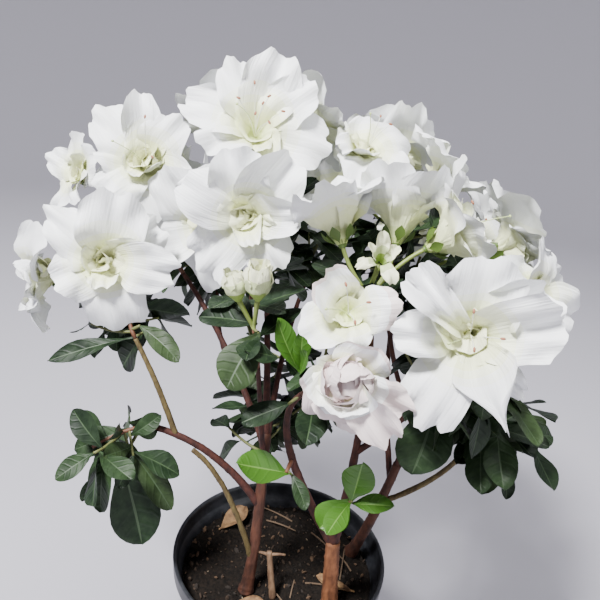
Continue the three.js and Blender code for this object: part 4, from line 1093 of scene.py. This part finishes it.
def growMass(mass):
    # the twigs and leaves of the solids first, and then finer ones from a stream of their own
    random = seeded(mass["seed"])
    parent = curves[mass["bough"]]
    start = parent.point(mass["share"])
    if mass["share"] == 1:
        control = start + parent.tangent(1) * ((start - mass["head"]).length * 0.35)
    else:
        control = (start + mass["head"]) / 2
    stem = Curve(start, None, mass["head"], control=control)
    mass["stem"] = stem

    def inOpen(point):
        return inSpace(point, mass) and not hidesBloom(point)

    def free(point):
        return inOpen(point) and not touchesLimb(point)

    rods = [(stem, (min(limbRadii[mass["bough"]][1], 1.3), 0.9))]
    leaves = []
    for i in range(mass["twigs"]):
        twig = growTwig(stem, i, mass["twigs"], random, twigForm)
        around = growWhorl(twig, 4 + int(2 * next(random)), random, free)
        if all(free(twig.point(share)) for share in twigForm["probes"]):
            rods.append((twig, twigForm["radii"]))
            leaves += around
    leaves += growWhorl(stem, mass["collar"], random, free)
    for row in mass["leaves"]:
        span = row["toward"] - row["base"]
        direction = span.normalized()
        sink = foliageForm["leafSink"]
        nearest = stem.point(closestShare(stem, row["base"]))
        rods.append((straight(nearest, row["base"]), foliageForm["footRadii"]))
        leaves.append(makeLeaf(row["base"] - direction * sink, direction, Vector((0, -0.55, 0.85)),
                               span.length + sink, row["width"], youngForm if row["young"] else leafForm,
                               row["young"]))
    fine = seeded(mass["seed"] + 1000)
    count = fineForm["counts"].get(mass["name"], fineForm["usual"] if mass["collar"] > 3 else 0)
    for i in range(count):
        twig = growTwig(stem, i, count, fine, fineForm)
        around = growWhorl(twig, fineForm["leaves"], fine, free, fineForm["scale"])
        if around and all(inOpen(twig.point(share)) for share in fineForm["probes"]):
            rods.append((twig, fineForm["radii"]))
            leaves += around
    return rods, leaves


def addLeaf(bm, leaf, slots, random):
    spots, faces = addGrid(bm, foliageForm["columns"], foliageForm["rows"])
    phase = 6.28 * next(random)
    bend = (next(random) - 0.5) * foliageForm["bend"]
    step = 2 / foliageForm["columns"]
    leaf["stalkHalf"] = foliageForm["stalkHalf"]
    surface = bm.loops.layers.uv.verify()
    for face in faces:
        isRib = abs(face.calc_center_median().x) < step
        face.material_index = slots[1] if isRib else slots[0]
        for loop in face.loops:
            loop[surface].uv = ((loop.vert.co.x + 1) / 2, (loop.vert.co.y + 1) / 2)
    for vert, side, share in spots:
        share = 1 - (1 - share) ** 1.5  # closer rows at the tip
        # the columns on each side of the middle close in on a narrow rib
        isRib = abs(side) < 1.1 * step
        across = side * foliageForm["rib"] / step if isRib else side
        ripple = foliageForm["wave"] * leaf["length"] * side * side * math.sin(7 * share + phase + 1.4 * side)
        ripple -= 0.03 * leaf["width"] * leafOutline(share) if isRib else 0
        vert.co = leafSpot(leaf, share, across) + leaf["normal"] * ripple
        vert.co += leaf["left"] * (bend * leaf["length"] * share * share)


def addSideVeins(material, strength, slant=-0.55, spacing=40.0, flat=0.55, soft=0.3):
    # sunken veins that slant forwards from the rib to both edges
    coords = addNode(material, "ShaderNodeTexCoord", {})
    split = addNode(material, "ShaderNodeSeparateXYZ", {"Vector": coords.outputs["UV"]})
    away = addMath(material, "ABSOLUTE", addMath(material, "SUBTRACT", split.outputs["X"], 0.5))
    along = addMath(material, "MULTIPLY_ADD", away, slant, split.outputs["Y"])
    crest = addMath(material, "SINE", addMath(material, "MULTIPLY", along, spacing))
    addBump(material, addMath(material, "SMOOTH_MAX", crest, flat, soft), strength, 0.0008, invert=True)


def leafMaterial(number, tone):
    leaf = newMaterial("leafGreen" + str(number), tone, 0.5, Specular_IOR_Level=0.22, Sheen_Weight=0.04,
                       Sheen_Roughness=0.4)
    addMottle(leaf, blend(tone, (0, 0, 0), 0.3), blend(tone, (0.2, 0.3, 0.14), 0.05), 170, 0.25)
    addSideVeins(leaf, 0.4)
    return leaf


def makeFoliage():
    random = seeded(foliageForm["seed"])
    leafMesh, youngMesh, twigMesh = bmesh.new(), bmesh.new(), bmesh.new()
    count = 0
    for index, mass in enumerate(masses):
        rods, leaves = growMass(mass)
        for curve, radii in rods:
            thick = radii[0] > foliageForm["thickFrom"]
            addTube(twigMesh, curve, radii, 6, max(3, int(curve.length / 5)), slotIndex=1 if thick else 0)
        for number, leaf in enumerate(leaves):
            pick = next(random)
            if leaf["young"] or mass["fresh"]:
                addLeaf(youngMesh, leaf, (0, 1), random)
            else:
                tone = min(3, int(pick * 4)) if number > 5 else index % 3
                addLeaf(leafMesh, leaf, (tone, 4), random)
        count += len(leaves)
    for mesh in (leafMesh, youngMesh):
        bmesh.ops.remove_doubles(mesh, verts=mesh.verts, dist=0.0005)
    tones = [leafMaterial(number, tone) for number, tone in enumerate(foliageForm["tones"])]
    tones.append(newMaterial("leafRib", foliageForm["ribTone"], 0.5))
    young = [newMaterial("youngGreen", foliageForm["young"], 0.4, Specular_IOR_Level=0.35),
             newMaterial("youngRib", foliageForm["youngRib"], 0.4)]
    addSideVeins(young[0], 0.35)
    finishPiece("leaves", leafMesh, tones, [mass["name"] for mass in masses if not mass["blooms"]])
    finishPiece("young_leaves", youngMesh, young, [])
    twigs = [newMaterial("twigOlive", foliageForm["twigOlive"], 0.6),
             newMaterial("twigRed", foliageForm["twigRed"], 0.65)]
    finishPiece("twigs", twigMesh, twigs, [], closed=True)
    print("leaves:", count)


makeFoliage()

stalkForm = dict(
    radii=(0.8, 0.95), budRadii=(0.9, 1.2), cupRadii=(1.4, 3.1), cupSpan=(-1.0, 0.8, 2.6),
    sepals=6, sepalLength=9.0, sepalWidth=4.8, sepalForm=dict(fold=0.3, droop=0.12, point=1.8),
    sepalSpread=0.45, cuppedSpread=1.0, green=(0.21, 0.27, 0.06), calyx=(0.075, 0.13, 0.018),
)


def makeStalks():
    bm = bmesh.new()
    for mass in masses:
        for i, bloom in enumerate(mass["blooms"]):
            axis = bloom["axis"]
            foot = bloom["root"] - axis * 0.5
            control = foot - axis * (0.5 * (foot - mass["head"]).length)
            stalk = Curve(mass["stem"].point(0.97 - 0.04 * i), None, foot, control=control)
            addTube(bm, stalk, stalkForm["radii"], 8, 12)
            cup = Curve(*[foot + axis * along for along in stalkForm["cupSpan"]])
            addTube(bm, cup, stalkForm["cupRadii"], 10, 3, slotIndex=1)
            cupped = bloom["lean"] < petalForm["cuppedLean"]
            for k in range(stalkForm["sepals"]):
                turn = math.tau * k / stalkForm["sepals"] + bloom["turn"]
                aside = bloom["right"] * math.cos(turn) + bloom["up"] * math.sin(turn)
                spread = stalkForm["cuppedSpread" if cupped else "sepalSpread"]
                direction = (axis + aside * spread).normalized()
                sepal = makeLeaf(foot + aside * 2.2 + axis * 0.4, direction, aside, stalkForm["sepalLength"],
                                 stalkForm["sepalWidth"], stalkForm["sepalForm"])
                spots, faces = addGrid(bm, 2, 6)
                for face in faces:
                    face.material_index = 1
                for vert, side, share in spots:
                    vert.co = leafSpot(sepal, share, side)
        for bud in mass["buds"]:
            addTube(bm, straight(mass["stem"].point(0.96), bud["base"]), stalkForm["budRadii"], 8, 6)
    finishPiece("flower_stalks", bm, [newMaterial("stalkGreen", stalkForm["green"], 0.45),
                                      newMaterial("calyxGreen", stalkForm["calyx"], 0.5)], [])


# green is the share of a bud's petals that is green, and as much again is pale.
budForm = dict(white=(0.85, 0.865, 0.60), leaf=(0.27, 0.39, 0.07), petals=5, frills=2, green=0.34, seed=61)


def makeBuds():
    # a bud is a few broad petals wrapped round each other, and some have crumpled ones in their mouth
    bm = bmesh.new()
    random = seeded(budForm["seed"])
    rows, columns = petalForm["rows"], petalForm["columns"]
    for mass in masses:
        for bud in mass["buds"]:
            span = bud["toward"] - bud["base"]
            axis = span.normalized()
            right, up = sidesOf(axis)
            bud.update(root=bud["base"], axis=axis, right=right, up=up, lean=0, length=span.length)
            if "plan" in bud:
                petals = makeWhorl(bud, mass, random, "opening", 5, (30, 60), 0)
            else:
                petals = makeWhorl(bud, mass, random, "bud", budForm["petals"], (-14, -6), 0)
                frills = bud.get("frills", budForm["frills"])
                petals += makeWhorl(bud, mass, random, "frill", frills, (-6, 14), 40)
            green = bud.get("green", budForm["green"])
            for petal in petals:
                start = len(bm.faces)
                addPetal(bm, bud, petal)
                for index, face in enumerate(facesFrom(bm, start)):
                    share = (index // columns + 0.5) / rows
                    face.material_index = 2 if share < green else 1 if share < 2 * green else 0
    white, green = budForm["white"], budForm["leaf"]
    colors = dict(budWhite=white, budPale=blend(white, green, 0.5), budGreen=green)
    finishPiece("flower_buds", bm, [petalMaterial(*row) for row in colors.items()], [])


makeStalks()
makeBuds()

fallenForm = dict(color=(0.27, 0.155, 0.066), dark=(0.11, 0.055, 0.024), fold=0.3, lift=0.8, crease=0.5,
                  thickness=0.4)
fallenLeaves = [
    dict(base=at(-128, 40, soilTop), toward=at(-97, 36, soilTop), width=12, curl=0.24),
    dict(base=at(150, 44, soilTop), toward=at(122, 44, soilTop), width=13, curl=0.3),
    dict(base=at(-18, 46, soilTop), toward=at(-26, 24, soilTop), width=8, curl=0.2),
]


def makeFallenLeaves():
    for number, row in enumerate(fallenLeaves):
        bm = bmesh.new()
        span = row["toward"] - row["base"]
        form = dict(fold=fallenForm["fold"], droop=-row["curl"])
        base = row["base"] + Vector((0, 0, fallenForm["lift"]))
        leaf = makeLeaf(base, span.normalized(), Vector((0, 0, 1)), span.length, row["width"], form)
        spots, _ = addGrid(bm, 8, 12)
        for vert, side, share in spots:
            crease = fallenForm["crease"] * math.sin(9 * share + 3 * side + number)
            vert.co = leafSpot(leaf, share, side) + Vector((0, 0, crease + 0.6))
        dry = newMaterial("dryLeaf" + str(number), fallenForm["color"], 0.8)
        addMottle(dry, fallenForm["dark"], fallenForm["color"], 260, 0.4)
        name = str(number + 1)
        piece = finishPiece("dry_leaf_" + name, bm, [dry], ["fallen_leaf_" + name])
        shell = piece.modifiers.new("thickness", "SOLIDIFY")
        shell.thickness = fallenForm["thickness"] * mm


makeFallenLeaves()
print("pieces done")

# The stage, lights and camera are in metres.
stageForm = dict(
    floor=(0.44, 0.43, 0.48), world=(0.80, 0.80, 0.84), worldStrength=0.46,
    radius=2.0, bend=0.7, height=3.0, bendSteps=12, turns=96, weld=0.0001,
)


def makeStage():
    # a round floor that curves up into a plain wall on every side
    radius, bend = stageForm["radius"], stageForm["bend"]
    profile = [(0, 0), (0.5, 0), (1.0, 0), (radius - bend, 0)]
    for i in range(1, stageForm["bendSteps"] + 1):
        turn = math.radians(90 * i / stageForm["bendSteps"])
        profile.append((radius - bend + bend * math.sin(turn), bend - bend * math.cos(turn)))
    profile.append((radius, stageForm["height"]))
    mesh = meshFrom("floor", spinProfile(profile, stageForm["turns"], stageForm["weld"]), unit=1)
    mesh.shade_smooth()
    mesh.materials.append(newMaterial("floorPaper", stageForm["floor"], 0.9))
    linkObject("floor", mesh)
    world = bpy.data.worlds.new("studio")
    world.use_nodes = True
    sky = world.node_tree.nodes["Background"]
    sky.inputs["Color"].default_value = (*stageForm["world"], 1)
    sky.inputs["Strength"].default_value = stageForm["worldStrength"]
    bpy.context.scene.world = world


# Each light: its place, the height it looks at above the pot's middle, its size and its power.
lights = dict(
    key=((-0.42, -0.50, 1.20), 0.26, 0.26, 48),
    fill=((0.9, -0.7, 0.55), 0.24, 0.8, 4.5),
    top=((0.15, 0.35, 1.2), 0.28, 0.8, 9),
)


def addSoftLight(name, place, height, size, power):
    light = bpy.data.lights.new(name, "AREA")
    light.shape = "DISK"
    light.size = size
    light.energy = power
    lamp = linkObject(name, light)
    lamp.location = place
    lamp.rotation_euler = (Vector((0, 0, height)) - Vector(place)).to_track_quat("-Z", "Y").to_euler()


cameraForm = dict(place=(-0.005, -0.287, 0.370), pitch=22, roll=-6.6, lens=38.6, sensor=36)


def makeCamera():
    camera = bpy.data.cameras.new("view")
    camera.lens = cameraForm["lens"]
    camera.sensor_width = cameraForm["sensor"]
    pitch = math.radians(cameraForm["pitch"])
    roll = math.radians(cameraForm["roll"])
    level = Vector((1, 0, 0))
    ahead = Vector((0, math.cos(pitch), -math.sin(pitch)))
    down = Vector((0, -math.sin(pitch), -math.cos(pitch)))
    right = level * math.cos(roll) + down * math.sin(roll)
    below = down * math.cos(roll) - level * math.sin(roll)
    holder = linkObject("view", camera)
    turned = Matrix((right, -below, -ahead)).transposed().to_4x4()
    holder.matrix_world = Matrix.Translation(cameraForm["place"]) @ turned
    bpy.context.scene.camera = holder


makeStage()
for name, row in lights.items():
    addSoftLight(name, *row)
makeCamera()
